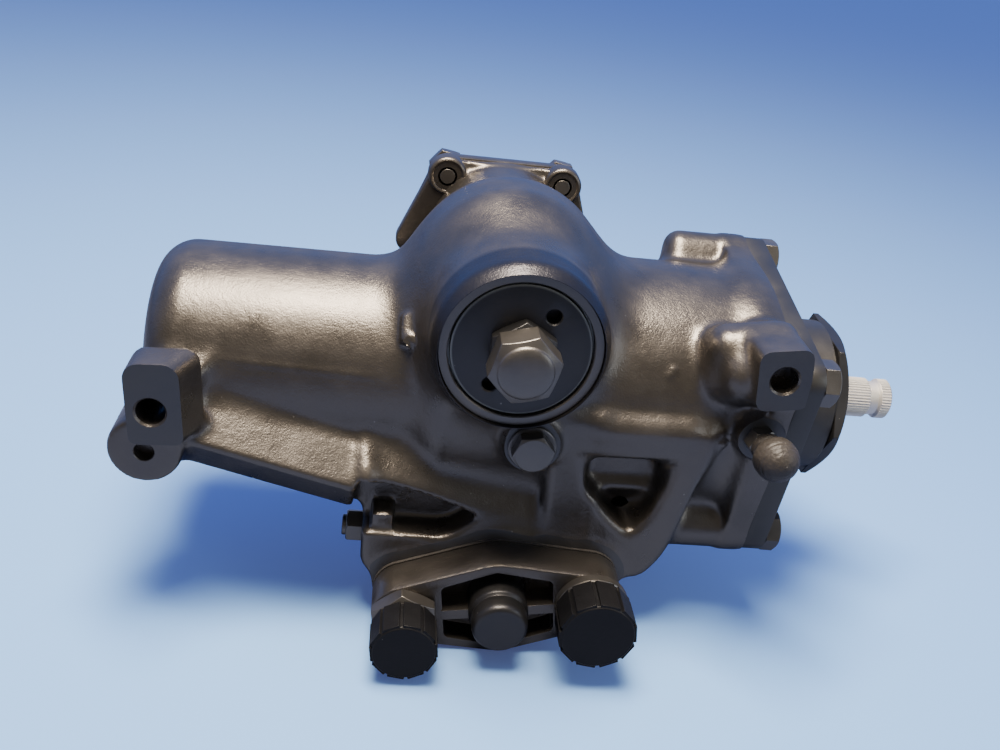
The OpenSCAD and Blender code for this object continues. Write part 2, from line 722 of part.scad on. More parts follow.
module plug_screw() color(bolt_black) in_frame() to_front(plug_face + 1.6) translate(plug_at) {
    hexagon(17, 6, 10);
    translate([0, 0, -14]) cylinder(h = 15, r = 6 - seat_gap);
}

module side_plug() color(bolt_black) in_frame()
    translate([body_left, side_plug_at[0], side_plug_at[1]]) rotate([0, -90, 0]) {
        hexagon(14, 8, 0);
        cylinder(h = 10, r = 5);
        translate([0, 0, -12]) cylinder(h = 13, r = 5 - seat_gap);
    }

module bleed_screw() color(bolt_black) in_frame() to_front(bleed_face) translate(bleed_at) {
    hexagon(13, 6, 10);
    translate([0, 0, -14]) cylinder(h = 15, r = 4 - seat_gap);
    cylinder(h = 18, r = 4);
}

module bleed_cap() color(rubber_black) in_frame() to_front(bleed_face + 6) translate(bleed_at)
difference() {
    rotate_extrude() {
        polygon([[0, 0], [7.5, 0], [7.5, 2], [10, 4], [10, 12], [0, 12]]);
        translate([0, 12]) intersection() {
            circle(10);
            square(10);
        }
    }
    translate([0, 0, -1]) cylinder(h = 13.4, r = 4 + seat_gap);
}

housing();
end_cover();
end_cover_bolts();
end_cover_seal();
worm_adjuster();
lock_ring();
input_seal();
inner_thrust_bearing();
outer_thrust_bearing();
front_cover();
front_cover_ring();
front_cover_seal();
adjusting_screw();
screw_retainer();
lock_nut();
cap_nut();
front_bearing();
rear_bearing();
rear_cover();
rear_cover_bolts();
rear_cover_seal();
output_seal();
sector_shaft();
rack_piston();
piston_ring();
balls();
return_tube();
worm_shaft();
input_shaft();
torsion_bar();
port_gasket();
port_block();
port_screw();
pressure_union();
return_union();
pressure_cap();
return_cap();
plug_washer();
plug_screw();
side_plug();
bleed_screw();
bleed_cap();
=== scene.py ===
import json
import math

import bmesh
import bpy
import numpy as np
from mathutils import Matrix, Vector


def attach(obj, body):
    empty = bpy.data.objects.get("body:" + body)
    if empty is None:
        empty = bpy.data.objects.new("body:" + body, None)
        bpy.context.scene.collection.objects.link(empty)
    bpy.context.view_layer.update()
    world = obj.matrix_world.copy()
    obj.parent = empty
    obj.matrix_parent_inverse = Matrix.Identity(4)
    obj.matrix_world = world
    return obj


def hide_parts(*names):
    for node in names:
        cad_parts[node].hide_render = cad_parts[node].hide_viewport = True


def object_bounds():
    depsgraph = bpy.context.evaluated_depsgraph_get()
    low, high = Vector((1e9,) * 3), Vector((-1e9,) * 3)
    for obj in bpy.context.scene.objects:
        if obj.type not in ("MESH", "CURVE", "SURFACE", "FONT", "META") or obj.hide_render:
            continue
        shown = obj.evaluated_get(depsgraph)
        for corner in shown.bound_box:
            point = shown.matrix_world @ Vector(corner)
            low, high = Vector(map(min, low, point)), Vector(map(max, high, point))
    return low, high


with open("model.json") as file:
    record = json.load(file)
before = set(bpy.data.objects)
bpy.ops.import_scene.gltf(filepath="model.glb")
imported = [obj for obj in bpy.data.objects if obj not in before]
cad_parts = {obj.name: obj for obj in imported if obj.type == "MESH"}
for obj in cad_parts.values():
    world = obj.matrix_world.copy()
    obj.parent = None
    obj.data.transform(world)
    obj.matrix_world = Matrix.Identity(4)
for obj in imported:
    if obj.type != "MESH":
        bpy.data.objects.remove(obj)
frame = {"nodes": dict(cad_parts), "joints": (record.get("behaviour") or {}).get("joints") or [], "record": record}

import openvdb
from mathutils import Matrix, Vector

cad_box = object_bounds()

# Housing: one sand-cast iron body, painted satin black, with a piston barrel, a sector neck across it, lugs,
# an arm and a port boss. Its forms are distances on a grid and flow into one another as they do in a mould.
# Its joint faces and holes are then cut sharp, as they are milled and drilled on the real one.
mm = 0.001
joints = {joint["name"]: joint for joint in frame["joints"]}
worm_at = Vector(joints["worm_spin"]["pos_m"])
gear_at = Vector((0, worm_at.y, 0))
worm_z = worm_at.z / mm
mount_tilt = math.radians(8)
barrel_r, head_r, barrel_left, head_face = 52.0, 61.5, -165.0, 129.0
neck_front, neck_rear, ear_front, ear_half, ear_r = 87.0, 65.5, 57.5, 30.3, 9.6
pad_front, mount_left, mount_right, mount_row = 80.0, -156.6, 115.0, -22.4
port_row, port_mid, port_half, port_face = -131.5, -12.7, 43.7, 66.5
port_end_r, port_middle_r = 15.5, 25.3
cover_half_w, cover_half_h, cover_corner, cover_turn = 54.7, 46.8, 10.5, math.radians(10.5)
plug_x, plug_z, plug_face = 13.0, -53.5, 70.5
bleed_x, bleed_z, bleed_face = 117.0, -41.5, 69.5
milling_stock, end_stock = 3.0, 4.0

voxel = 1.5
grid_low = np.array((-183.0, -94.0, -162.0))
grid_high = np.array((137.0, 72.0, 56.0))
grid_lines = [np.arange(a, b, voxel, dtype=np.float32) for a, b in zip(grid_low, grid_high)]
x, y, z = np.meshgrid(*grid_lines, indexing="ij", sparse=True)
mount_u = x * math.cos(mount_tilt) + z * math.sin(mount_tilt)
mount_w = z * math.cos(mount_tilt) - x * math.sin(mount_tilt)
from_worm = np.hypot(y, z - worm_z)
from_sector = np.hypot(x, z)


def rounded(beyond_side, beyond_end, edge):
    a, b = beyond_side + edge, beyond_end + edge
    return np.minimum(np.maximum(a, b), 0) + np.hypot(np.maximum(a, 0), np.maximum(b, 0)) - edge


def slab(outline, along, start, end, edge):
    return rounded(outline, np.abs(along - (start + end) / 2) - (end - start) / 2, edge)


def rod(along, across, start, end, radius, edge):
    return slab(across - radius, along, start, end, edge)


def blend(a, b, fillet):
    near = np.maximum(fillet - np.abs(a - b), 0) / fillet
    return np.minimum(a, b) - near * near * fillet / 4


def carve(a, b, fillet):
    return -blend(-a, b, fillet)


def rectangle(u, w, half_u, half_w, corner):
    return rounded(np.abs(u) - half_u, np.abs(w) - half_w, corner)


def polygon(u, w, corners, corner_r=4.0):
    outline = None
    for a, b in zip(corners, corners[1:] + corners[:1]):
        length = math.hypot(b[0] - a[0], b[1] - a[1])
        side = ((u - a[0]) * (b[1] - a[1]) - (w - a[1]) * (b[0] - a[0])) / length
        outline = side if outline is None else carve(outline, -side, corner_r)
    return outline


def link(u, w, a, b):
    t = np.clip((u - a[0]) / (b[0] - a[0]), 0, 1)
    return np.hypot(u - a[0] - t * (b[0] - a[0]), w) - a[1] - t * (b[1] - a[1])


# Barrel and head in one line, with the neck across them: it swells behind its rim and narrows to the rear
barrel = rod(x, from_worm, barrel_left, 100, barrel_r, 17)
head = rod(x, from_worm, -36, head_face + end_stock, head_r, 13)
casting = blend(barrel, head, 16)
swell = np.clip((y + 48) / 37, 0, 1)
waist = np.clip((y - 2) / 46, 0, 1)
neck_r = 38.4 + 9.1 * swell**2 * (3 - 2 * swell) - 10 * waist**2 * (3 - 2 * waist)
neck = rod(y, from_sector, -neck_front - milling_stock, neck_rear + milling_stock, neck_r, 1)
rim_slope = math.radians(27)
beyond_rim = (from_sector - 35.2) * math.cos(rim_slope) + (-y - neck_front) * math.sin(rim_slope)
neck = carve(neck, -beyond_rim, 1)
casting = blend(casting, neck, 22)

# Rear flange with its four ears and the gussets below the upper two
flange_back = neck_rear + milling_stock
flange_edge = rectangle(x, z, ear_half + ear_r - 1, ear_half + ear_r - 2, ear_r)
flange = slab(flange_edge, y, neck_rear - 3.5, flange_back, 1)
for side_x in (-1, 1):
    for side_z in (-1, 1):
        from_ear = np.hypot(x - side_x * ear_half, z - side_z * ear_half)
        ear = rod(y, from_ear, ear_front + 1.4, flange_back, ear_r - 1, 2)
        flange = blend(flange, ear, 3)
gusset_left = polygon(x, z, [(-39, 33), (-55, -8), (-30, -40), (0, -40), (0, 33)])
gusset_right = polygon(x, z, [(0, 33), (0, -40), (30, -40), (51, -8), (39, 33)])
gussets = slab(np.minimum(gusset_left, gusset_right), y, ear_front + 2.6, flange_back, 1.5)
casting = blend(casting, blend(flange, gussets, 2), 3)

# End flange, set at a slant, with a boss for each bolt of the end cover
turned_y = y * math.cos(cover_turn) + (z - worm_z) * math.sin(cover_turn)
turned_z = (z - worm_z) * math.cos(cover_turn) - y * math.sin(cover_turn)
end_out = head_face + end_stock
end_half_w, end_half_h = cover_half_w + cover_corner, cover_half_h + cover_corner
end_edge = rectangle(turned_y, turned_z, end_half_w, end_half_h, cover_corner)
end_flange = slab(end_edge, x, 117, end_out, 1.5)
for side_y, side_z, start in ((1, 1, 87), (-1, 1, 95), (-1, -1, 66), (1, -1, 95)):
    from_bolt = np.hypot(turned_y - side_y * cover_half_w, turned_z - side_z * cover_half_h)
    end_flange = blend(end_flange, rod(x, from_bolt, start, end_out, 10.8, 8), 4)
casting = blend(casting, end_flange, 14)

# Left lug with its web and boss, and the arm that slopes down from it
lug_turn = math.radians(5)
lug_u, lug_w = mount_u - mount_left - 1.5, mount_w - mount_row - 1.5
pad_u = lug_u * math.cos(lug_turn) - lug_w * math.sin(lug_turn)
pad_w = lug_w * math.cos(lug_turn) + lug_u * math.sin(lug_turn)
deep = np.clip((y + pad_front) / 16, 0, 1)
pad_corner = np.where(pad_w > 1.8, 7.0, 3.5)
pad_edge = rectangle(pad_u - 3 * deep, pad_w - 1.8, 11.5 + 3 * deep, 19.2, pad_corner)
left_lug = slab(pad_edge, y, -pad_front - milling_stock, -61, 2.5)
web_side = polygon(y, z, [(-28, -28), (-48, -30.4), (-62, -39.5), (-66, -70), (-28, -80)], 3)
web = slab(web_side, x - 0.67 * (y + 48), -154, -130, 3)
lug_boss = rod(y, np.hypot(x + 157, z + 68), -72, -30, 16.2, 2)
left_lug = blend(blend(left_lug, web, 3), lug_boss, 4)
arm_z = z + 21.5 * (x + 144) / 82
arm_edge = polygon(y, arm_z, [(-28, -39), (-53, -45.5), (-70, -62), (-57, -80.5), (-28, -79)], 2.5)
arm = slab(arm_edge, x, -146, -58, 3)
casting = blend(casting, blend(left_lug, arm, 6), 6)

# Lower body: the leaning wall left of the plug, the post right of it, and the strut with its pocket
valley_z = -66 - 0.12 * (x + 65)
edge_z = -78.5 - 0.34 * (x + 54)
fall = np.hypot(14, edge_z - valley_z)
lean = ((y + 52) * (edge_z - valley_z) + (z - valley_z) * 14) / fall
wall = slab(polygon(x, z, [(-62, -50), (-60, -128), (-40, -140), (52, -126), (52, -50)]), y, -66, -8, 3)
wall = carve(wall, -lean, 4)
post = slab(polygon(x, z, [(22, -40), (24, -126), (48, -126), (46, -40)]), y, -65, -8, 4)
strut_edge = [(44, -43), (44, -127), (61, -129.5), (78, -127), (90, -109), (99, -60), (101, -50), (98, -43)]
strut = slab(polygon(x, z, strut_edge), y, -65.5, -8, 4)
lower = blend(blend(wall, post, 6), strut, 4)
pocket_edge = [(36.5, -59.5), (46, -81), (57.5, -95), (66.5, -101), (74.5, -94), (84, -58)]
pocket = slab(polygon(x, z, pocket_edge, 5), y, -90, -43, 5)
lower = carve(lower, pocket, 5)
casting = blend(casting, lower, 8)
dish = slab(rectangle(x - 60.5, z + 71.5, 18, 9.5, 8), y, -90, -49.5, 6)
casting = carve(casting, dish, 4)
ridge = rod(x, np.hypot(y + 59.2, z + 45.5), 39, 91, 6.5, 6)
casting = blend(casting, ridge, 5)
scoop_edge = polygon(x, z, [(-64, -80), (-66, -108), (-20, -109), (-6, -97), (-34, -85)], 5)
scoop = slab(scoop_edge, y, -90, -50, 3)
casting = carve(casting, scoop, 3)
foot = slab(rectangle(x + 51, z + 106, 5, 7, 2), y, -63, -40, 1.5)
casting = blend(casting, foot, 2)

# Bosses for the port block and the plug, the right lug on its root, and the bleed screw's boss
port_w = mount_w - port_row
port_middle = (port_mid, port_middle_r)
port_left = link(mount_u, port_w, (port_mid - port_half, port_end_r), port_middle)
port_right = link(mount_u, port_w, port_middle, (port_mid + port_half, port_end_r))
port_boss = slab(np.minimum(port_left, port_right), y, -port_face - milling_stock, -20, 1)
casting = blend(casting, port_boss, 9)
from_plug = np.hypot(x - plug_x, z - plug_z)
plug_boss = rod(y, from_plug, -plug_face - milling_stock, -30, 12.5, 1)
casting = blend(casting, plug_boss, 7)
right_u = mount_u - mount_right
right_w = mount_w - mount_row
right_lug = slab(rectangle(right_u, right_w, 12, 14.5, 5), y, -pad_front - milling_stock, -50, 2)
lug_root = slab(rectangle(right_u + 8, right_w + 2, 20, 16, 10), y, -62, -40, 9)
right_lug = blend(right_lug, lug_root, 6)
casting = blend(casting, right_lug, 8)
from_bleed = np.hypot(x - bleed_x, z - bleed_z)
bleed_boss = rod(y, from_bleed, -bleed_face - milling_stock, -40, 10, 1)
casting = blend(casting, bleed_boss, 5)

# Marks of the mould: a low patch beside the neck, the parting line on the barrel and lumps of burnt-on sand
slope_y = (y + 43.5) * 0.66 + (z + 11.7) * 0.75
slope_z = (z + 11.7) * 0.66 - (y + 43.5) * 0.75
mould_patch = slab(rectangle(x + 44.5, slope_y, 5.0, 7.0, 1.5), slope_z, -8, 0.35, 0.5)
casting = blend(casting, mould_patch, 2)
seam = np.exp(-(((z + 36.8 + 0.038 * x) / 1.2) ** 2))
seam = seam * np.clip((x + 130) / 12, 0, 1) * np.clip((-54 - x) / 12, 0, 1)
casting = casting - 0.5 * seam * (y < -30)
sand_lumps = [
    (-45.5, -46.6, -14.5, 1.6), (-42.5, -48.0, -17.0, 1.4), (-46.0, -48.6, -19.0, 1.3),
    (74.0, -53.6, -20.5, 1.9), (77.0, -54.2, -23.5, 1.7),
    (73.0, -54.8, -25.5, 1.6), (75.5, -53.0, -18.0, 1.5),
    (101.5, -61.0, -44.0, 2.4), (102.5, -61.5, -49.0, 2.8), (101.0, -61.0, -53.0, 2.2),
]
for lump_x, lump_y, lump_z, lump_r in sand_lumps:
    lump = np.sqrt((x - lump_x) ** 2 + (y - lump_y) ** 2 + (z - lump_z) ** 2) - lump_r
    casting = blend(casting, lump, 1.2)

far = 4 * voxel
field = openvdb.FloatGrid(background=far)
field.copyFromArray(np.clip(casting, -far, far).astype(np.float32))
points, _, quads = field.convertToPolygons(isovalue=0.0, adaptivity=0.0)
points = (grid_low + points * voxel) * mm + np.array(gear_at)


def piece_from(name, points, faces):
    mesh = bpy.data.meshes.new(name)
    mesh.from_pydata([tuple(p) for p in points], [], [tuple(f) for f in faces])
    work = bmesh.new()
    work.from_mesh(mesh)
    bmesh.ops.remove_doubles(work, verts=work.verts, dist=1e-6)
    bmesh.ops.recalc_face_normals(work, faces=work.faces)
    work.to_mesh(mesh)
    work.free()
    piece = bpy.data.objects.new(name, mesh)
    bpy.context.scene.collection.objects.link(piece)
    return piece


facing = {
    "front": Matrix.Rotation(math.radians(90), 4, "X"),
    "rear": Matrix.Rotation(math.radians(-90), 4, "X"),
    "right": Matrix.Rotation(math.radians(90), 4, "Y"),
    "left": Matrix.Rotation(math.radians(-90), 4, "Y"),
}


def aim(at, way):
    return Matrix.Translation(gear_at) @ Matrix.Scale(mm, 4) @ Matrix.Translation(at) @ facing[way]


def in_mount(u, y_at, w):
    c, s = math.cos(mount_tilt), math.sin(mount_tilt)
    return Vector((u * c - w * s, y_at, u * s + w * c))


def turned(name, profile, place, sides=96):
    points, faces = [], []
    rings = []
    for radius, height in profile:
        start = len(points)
        count = 1 if radius == 0 else sides
        for k in range(count):
            a = 2 * math.pi * k / sides
            points.append(place @ Vector((radius * math.cos(a), radius * math.sin(a), height)))
        rings.append((start, count))
    for (a, count_a), (b, count_b) in zip(rings, rings[1:]):
        for k in range(sides):
            n = (k + 1) % sides
            ring = [a + k % count_a, a + n % count_a, b + n % count_b, b + k % count_b]
            faces.append(list(dict.fromkeys(ring)))
    return piece_from(name, points, faces)


def drill(name, at, way, radius, deep, chamfer):
    mouth = radius + chamfer
    profile = [(0, -deep), (radius, -deep), (radius, -chamfer), (mouth, 0), (mouth, 6), (0, 6)]
    return turned(name, profile, aim(at, way), 64)


def mill(name, at, way, half_u, half_w, reach):
    corners = [(u, w, h) for h in (0, reach) for u, w in ((-1, -1), (1, -1), (1, 1), (-1, 1))]
    points = [aim(at, way) @ Vector((u * half_u, w * half_w, h)) for u, w, h in corners]
    faces = [(0, 3, 2, 1), (4, 5, 6, 7), (0, 1, 5, 4), (1, 2, 6, 5), (2, 3, 7, 6), (3, 0, 4, 7)]
    return piece_from(name, points, faces)


def cut(body, cutters, operation="DIFFERENCE"):
    for cutter in cutters:
        trim = body.modifiers.new("cut", "BOOLEAN")
        trim.operation, trim.solver, trim.object = operation, "MANIFOLD", cutter
    graph = bpy.context.evaluated_depsgraph_get()
    result = bpy.data.meshes.new_from_object(body.evaluated_get(graph))
    body.modifiers.clear()
    body.data = result
    result.materials.clear()
    result.polygons.foreach_set("material_index", [0] * len(result.polygons))
    for cutter in cutters:
        bpy.data.objects.remove(cutter)


def round_hull(circles, grow):
    steps = 144
    ring = []
    for k in range(steps):
        way = (math.cos(2 * math.pi * k / steps), math.sin(2 * math.pi * k / steps))
        u, w, r = max(circles, key=lambda c: c[0] * way[0] + c[1] * way[1] + c[2])
        ring.append((u + (r + grow) * way[0], w + (r + grow) * way[1]))
    return ring


def plate(name, circles, low, high, edge, place):
    profile = [(-edge, low), (-0.3 * edge, low + 0.3 * edge), (0, low + edge)]
    profile += [(grow, low + high - height) for grow, height in reversed(profile)]
    points, faces = [], []
    for grow, height in profile:
        points += [place @ Vector((u, w, height)) for u, w in round_hull(circles, grow)]
    count = len(points) // len(profile)
    for level in range(len(profile) - 1):
        for k in range(count):
            n = (k + 1) % count
            a, b = level * count, (level + 1) * count
            faces.append((a + k, a + n, b + n, b + k))
    faces += [range(count), range(len(points) - count, len(points))]
    return piece_from(name, points, faces)


housing = piece_from("cast_housing", points, quads)
ear_back = neck_rear + 1
lip = [(0, 0), (10.2, 0), (10.2, 7.4), (9.9, 8.5), (9.3, 9.2), (8.6, 9.5), (7.9, 9.3), (7.4, 8.8), (0, 8.8)]
raised = []
for side_x, foot_x in ((-1, 46.5), (1, 43)):
    bar_ends = [(side_x * ear_half, ear_half, 8.6), (side_x * foot_x, -6, 8)]
    raised.append(plate("gusset_bar", bar_ends, 0, 8.3, 1.2, aim((0, ear_back, 0), "front")))
    for side_z in (-1, 1):
        lip_place = aim((side_x * ear_half, ear_back, side_z * ear_half), "front")
        raised.append(turned("ear_lip", lip, lip_place, 64))
cut(housing, raised, "UNION")
lug_left = in_mount(mount_left, -pad_front, mount_row)
lug_right = in_mount(mount_right, -pad_front, mount_row)
neck_bore = [(0, -60), (33, -60), (33, -6.9), (35, -6.9), (35, 0), (60, 0.01), (60, 12), (0, 12)]
cutters = [
    turned("neck_face", neck_bore, aim((0, -neck_front, 0), "front")),
    mill("end_face", (head_face, 0, worm_z), "right", 90, 90, 20),
    mill("rear_face", (0, neck_rear, 0), "rear", 80, 80, 20),
    mill("left_pad", lug_left, "front", 26, 30, 8),
    mill("right_pad", lug_right, "front", 22, 22, 8),
    mill("port_joint", in_mount(port_mid, -port_face, port_row), "front", 75, 32, 5),
    turned("plug_seat", [(0, 0), (14, 0), (14, 9), (0, 9)], aim((plug_x, -plug_face, plug_z), "front")),
    turned("bleed_seat", [(0, 0), (12, 0), (12, 9), (0, 9)], aim((bleed_x, -bleed_face, bleed_z), "front")),
    drill("left_hole", lug_left, "front", 6.2, 28, 0.9),
    drill("right_hole", lug_right, "front", 6.2, 11, 0.9),
    drill("boss_hole", (-157, -72, -68.5), "front", 4.4, 6, 0.3),
    drill("pocket_hole", (64, -44, -95.5), "front", 5, 9, 0.2),
]
for side_x in (-1, 1):
    for side_z in (-1, 1):
        ear_at = (side_x * ear_half, ear_front, side_z * ear_half)
        cutters.append(drill("ear_hole", ear_at, "front", 5, 20, 0.2))
cut(housing, cutters)
housing.data.shade_smooth()
housing.data.set_sharp_from_angle(angle=math.radians(38))


def node(tree, kind, **settings):
    made = tree.nodes.new(kind)
    for name, value in settings.items():
        if name[0].islower() and hasattr(made, name):
            setattr(made, name, value)
            continue
        socket = made.inputs[int(name[2:])] if name[:2] == "in" else made.inputs[name.replace("_", " ")]
        if isinstance(value, bpy.types.NodeSocket):
            tree.links.new(value, socket)
        else:
            socket.default_value = value
    return made


def worked(tree, operation, a, b):
    return node(tree, "ShaderNodeMath", operation=operation, in0=a, in1=b).outputs[0]


def ranged(tree, value, low, high, to_low=0.0, to_high=1.0):
    span = {"From_Min": low, "From_Max": high, "To_Min": to_low, "To_Max": to_high}
    return node(tree, "ShaderNodeMapRange", Value=value, **span).outputs[0]


def mixed(tree, share, first, second):
    return node(tree, "ShaderNodeMix", data_type="RGBA", in0=share, in6=first, in7=second).outputs[2]


grain_group = bpy.data.node_groups.new("cast_grain", "ShaderNodeTree")
for name in ("Scale", "Depth"):
    grain_group.interface.new_socket(name, in_out="INPUT", socket_type="NodeSocketFloat")
for name in ("Height", "Mottle", "Specks"):
    grain_group.interface.new_socket(name, in_out="OUTPUT", socket_type="NodeSocketFloat")
given = node(grain_group, "NodeGroupInput").outputs
spot = node(grain_group, "ShaderNodeTexCoord").outputs["Object"]


def noise(scale, detail, rough):
    settings = {"Vector": spot, "Scale": scale, "Detail": detail, "Roughness": rough}
    return node(grain_group, "ShaderNodeTexNoise", **settings).outputs["Fac"]


height = noise(given["Scale"], 2.0, 0.6)
dents = noise(330.0, 2.0, 0.5)
broad = noise(60.0, 4.0, 0.55)
for waves, share in ((dents, 1.1), (broad, 0.7)):
    layer = node(grain_group, "ShaderNodeMath", operation="MULTIPLY_ADD", in0=waves, in1=share, in2=height)
    height = layer.outputs[0]
height = worked(grain_group, "MULTIPLY", height, given["Depth"])
dots = node(grain_group, "ShaderNodeTexVoronoi", Vector=spot, Scale=190.0, Randomness=1.0).outputs
chosen = node(grain_group, "ShaderNodeSeparateColor", Color=dots["Color"]).outputs[0]
reach = ranged(grain_group, chosen, 0.72, 1.0, to_high=0.09)
specks = worked(grain_group, "LESS_THAN", dots["Distance"], reach)
node(grain_group, "NodeGroupOutput", Height=height, Mottle=broad, Specks=specks)


def painted(name, colour, sheen_colour, rough, grain_scale, grain_depth, metal=0.0):
    material = bpy.data.materials.new(name)
    material.use_nodes = True
    tree = material.node_tree
    shader = tree.nodes["Principled BSDF"]
    grain = node(
        tree, "ShaderNodeGroup", node_tree=grain_group, Scale=grain_scale, Depth=grain_depth
    ).outputs
    tone = mixed(tree, grain["Mottle"], colour, sheen_colour)
    dusty = worked(tree, "MULTIPLY", grain["Specks"], 0.35)
    tone = mixed(tree, dusty, tone, (0.45, 0.42, 0.38, 1))
    gloss = ranged(tree, grain["Mottle"], 0.3, 0.7, rough - 0.06, rough + 0.08)
    bump = node(tree, "ShaderNodeBump", Height=grain["Height"], Distance=0.001, Strength=1.0).outputs[0]
    tree.links.new(tone, shader.inputs["Base Color"])
    tree.links.new(gloss, shader.inputs["Roughness"])
    tree.links.new(bump, shader.inputs["Normal"])
    shader.inputs["Metallic"].default_value = metal
    return material


cast_black = painted(
    "cast_black_paint", (0.115, 0.104, 0.091, 1), (0.16, 0.145, 0.128, 1), 0.32, 1150.0, 0.115, 0.85
)
# Painted shade: the front of the neck is darkened in the base colour towards a dark bluish tone
tree = cast_black.node_tree
shader = tree.nodes["Principled BSDF"]
at_neck = node(tree, "ShaderNodeTexCoord").outputs["Object"]
along_neck = node(tree, "ShaderNodeSeparateXYZ", Vector=at_neck).outputs["Y"]
across_neck = node(
    tree, "ShaderNodeVectorMath", operation="MULTIPLY", in0=at_neck, in1=(1, 0, 1)
).outputs[0]
across_neck = node(tree, "ShaderNodeVectorMath", operation="LENGTH", in0=across_neck).outputs["Value"]
neck_shade_end = gear_at.y - 66 * mm
neck_painted_shade = ranged(tree, along_neck, neck_shade_end + 0.004, neck_shade_end)
inside = ranged(tree, across_neck, 0.045, 0.041, to_high=0.75)
neck_painted_shade = worked(tree, "MULTIPLY", neck_painted_shade, inside)
cast_tone = shader.inputs["Base Color"].links[0].from_socket
# Painted shade: the neck front mixes towards a dark bluish tone
neck_shaded_tone = mixed(tree, neck_painted_shade, cast_tone, (0.03, 0.032, 0.042, 1))
tree.links.new(neck_shaded_tone, shader.inputs["Base Color"])
milled_cast = painted(
    "milled_cast_paint", (0.085, 0.084, 0.084, 1), (0.12, 0.117, 0.114, 1), 0.4, 1300.0, 0.05, 0.8
)
count = len(housing.data.polygons)
centres, normals = np.empty(3 * count), np.empty(3 * count)
housing.data.polygons.foreach_get("center", centres)
housing.data.polygons.foreach_get("normal", normals)
centres = (centres.reshape(-1, 3) - np.array(gear_at)) / mm
normals = normals.reshape(-1, 3)
milled_faces = np.zeros(count, dtype=bool)
across_y = [(1, level) for level in (-pad_front, -port_face, -plug_face, -bleed_face, neck_rear)]
for axis, level in across_y + [(0, head_face)]:
    milled_faces |= (np.abs(centres[:, axis] - level) < 0.01) & (np.abs(normals[:, axis]) > 0.999)
housing.data.polygons.foreach_set("material_index", milled_faces.astype(np.int32))
housing.data.materials.append(cast_black)
housing.data.materials.append(milled_cast)
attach(housing, "casing")
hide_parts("housing")

# Front cover: a turned disc, painted black, that closes the neck and carries the adjusting screw. Its edge is
# chamfered, two pin holes take the spanner, and a steel ring in a groove of the neck holds it.
disc_y, disc_r, cover_r = 84.0, 30.0, 33.0
machined_black = painted(
    "machined_black_paint", (0.05, 0.05, 0.052, 1), (0.075, 0.073, 0.072, 1), 0.4, 1500.0, 0.03, 0.8
)


def shaded(piece, material, body, slot, *nodes):
    crease = math.radians(32)
    piece.data.materials.clear()
    piece.data.materials.append(material)
    piece.data.shade_smooth()
    piece.data.set_sharp_from_angle(angle=crease)
    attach(piece, body)
    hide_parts(*nodes)


front_cover = turned(
    "front_cover_disc",
    [(8.05, -16), (cover_r - 0.05, -16), (cover_r - 0.05, -4.2), (disc_r, -4.2), (disc_r, -1.1),
     (disc_r - 0.3, -0.4), (disc_r - 1.1, 0), (9.2, 0), (8.05, -1.1), (8.05, -16)],
    aim((0, -disc_y, 0), "front"),
)
pin_holes = []
for angle in (55, 235):
    pin_x, pin_z = 20 * math.cos(math.radians(angle)), 20 * math.sin(math.radians(angle))
    pin_holes.append(drill("pin_hole", (pin_x, -disc_y, pin_z), "front", 3.25, 7, 0.5))
cut(front_cover, pin_holes)
disc_black = painted(
    "disc_black_paint", (0.05, 0.05, 0.052, 1), (0.075, 0.073, 0.072, 1), 0.4, 1500.0, 0.03, 0.8
)
tree = disc_black.node_tree
shader = tree.nodes["Principled BSDF"]
at_disc = node(tree, "ShaderNodeTexCoord").outputs["Object"]
flat_spot = node(tree, "ShaderNodeVectorMath", operation="MULTIPLY", in0=at_disc, in1=(1, 0, 1)).outputs[0]
from_axis = node(tree, "ShaderNodeVectorMath", operation="LENGTH", in0=flat_spot).outputs["Value"]
groove_turns = worked(tree, "MULTIPLY", from_axis, 14000.0)
grooves = node(tree, "ShaderNodeMath", operation="SINE", in0=groove_turns).outputs[0]
old_bump = shader.inputs["Normal"].links[0].from_node
ringed = node(
    tree, "ShaderNodeBump", Height=grooves, Distance=0.00001, Strength=0.5, Normal=old_bump.outputs[0]
).outputs[0]
tree.links.new(ringed, shader.inputs["Normal"])
# The chamfered edge ring of the disc is painted a lighter grey
edge_ring_mask = ranged(tree, from_axis, 0.0287, 0.0297)
old_tone = shader.inputs["Base Color"].links[0].from_socket
edge_ring_tone = mixed(tree, edge_ring_mask, old_tone, (0.3, 0.31, 0.28, 1))
tree.links.new(edge_ring_tone, shader.inputs["Base Color"])
shaded(front_cover, disc_black, "casing", "machined_black", "front_cover")

bolt_black = painted(
    "bolt_black_paint", (0.12, 0.114, 0.105, 1), (0.2, 0.185, 0.166, 1), 0.36, 1300.0, 0.05, 0.85
)
front_ring = turned(
    "front_cover_ring_split",
    [(30.8, -3.8), (34.95, -3.8), (34.95, 0.3), (34.5, 0.8), (31.2, 0.8), (30.8, 0.4), (30.8, -3.8)],
    aim((0, -disc_y, 0), "front"),
)
shaded(front_ring, bolt_black, "casing", "bolt_black", "front_cover_ring")

# Nuts of the adjusting screw: a lock nut against the disc and a domed cap nut on top of it. Both are painted
# steel, with the corners of their hexagons turned off to a cone.


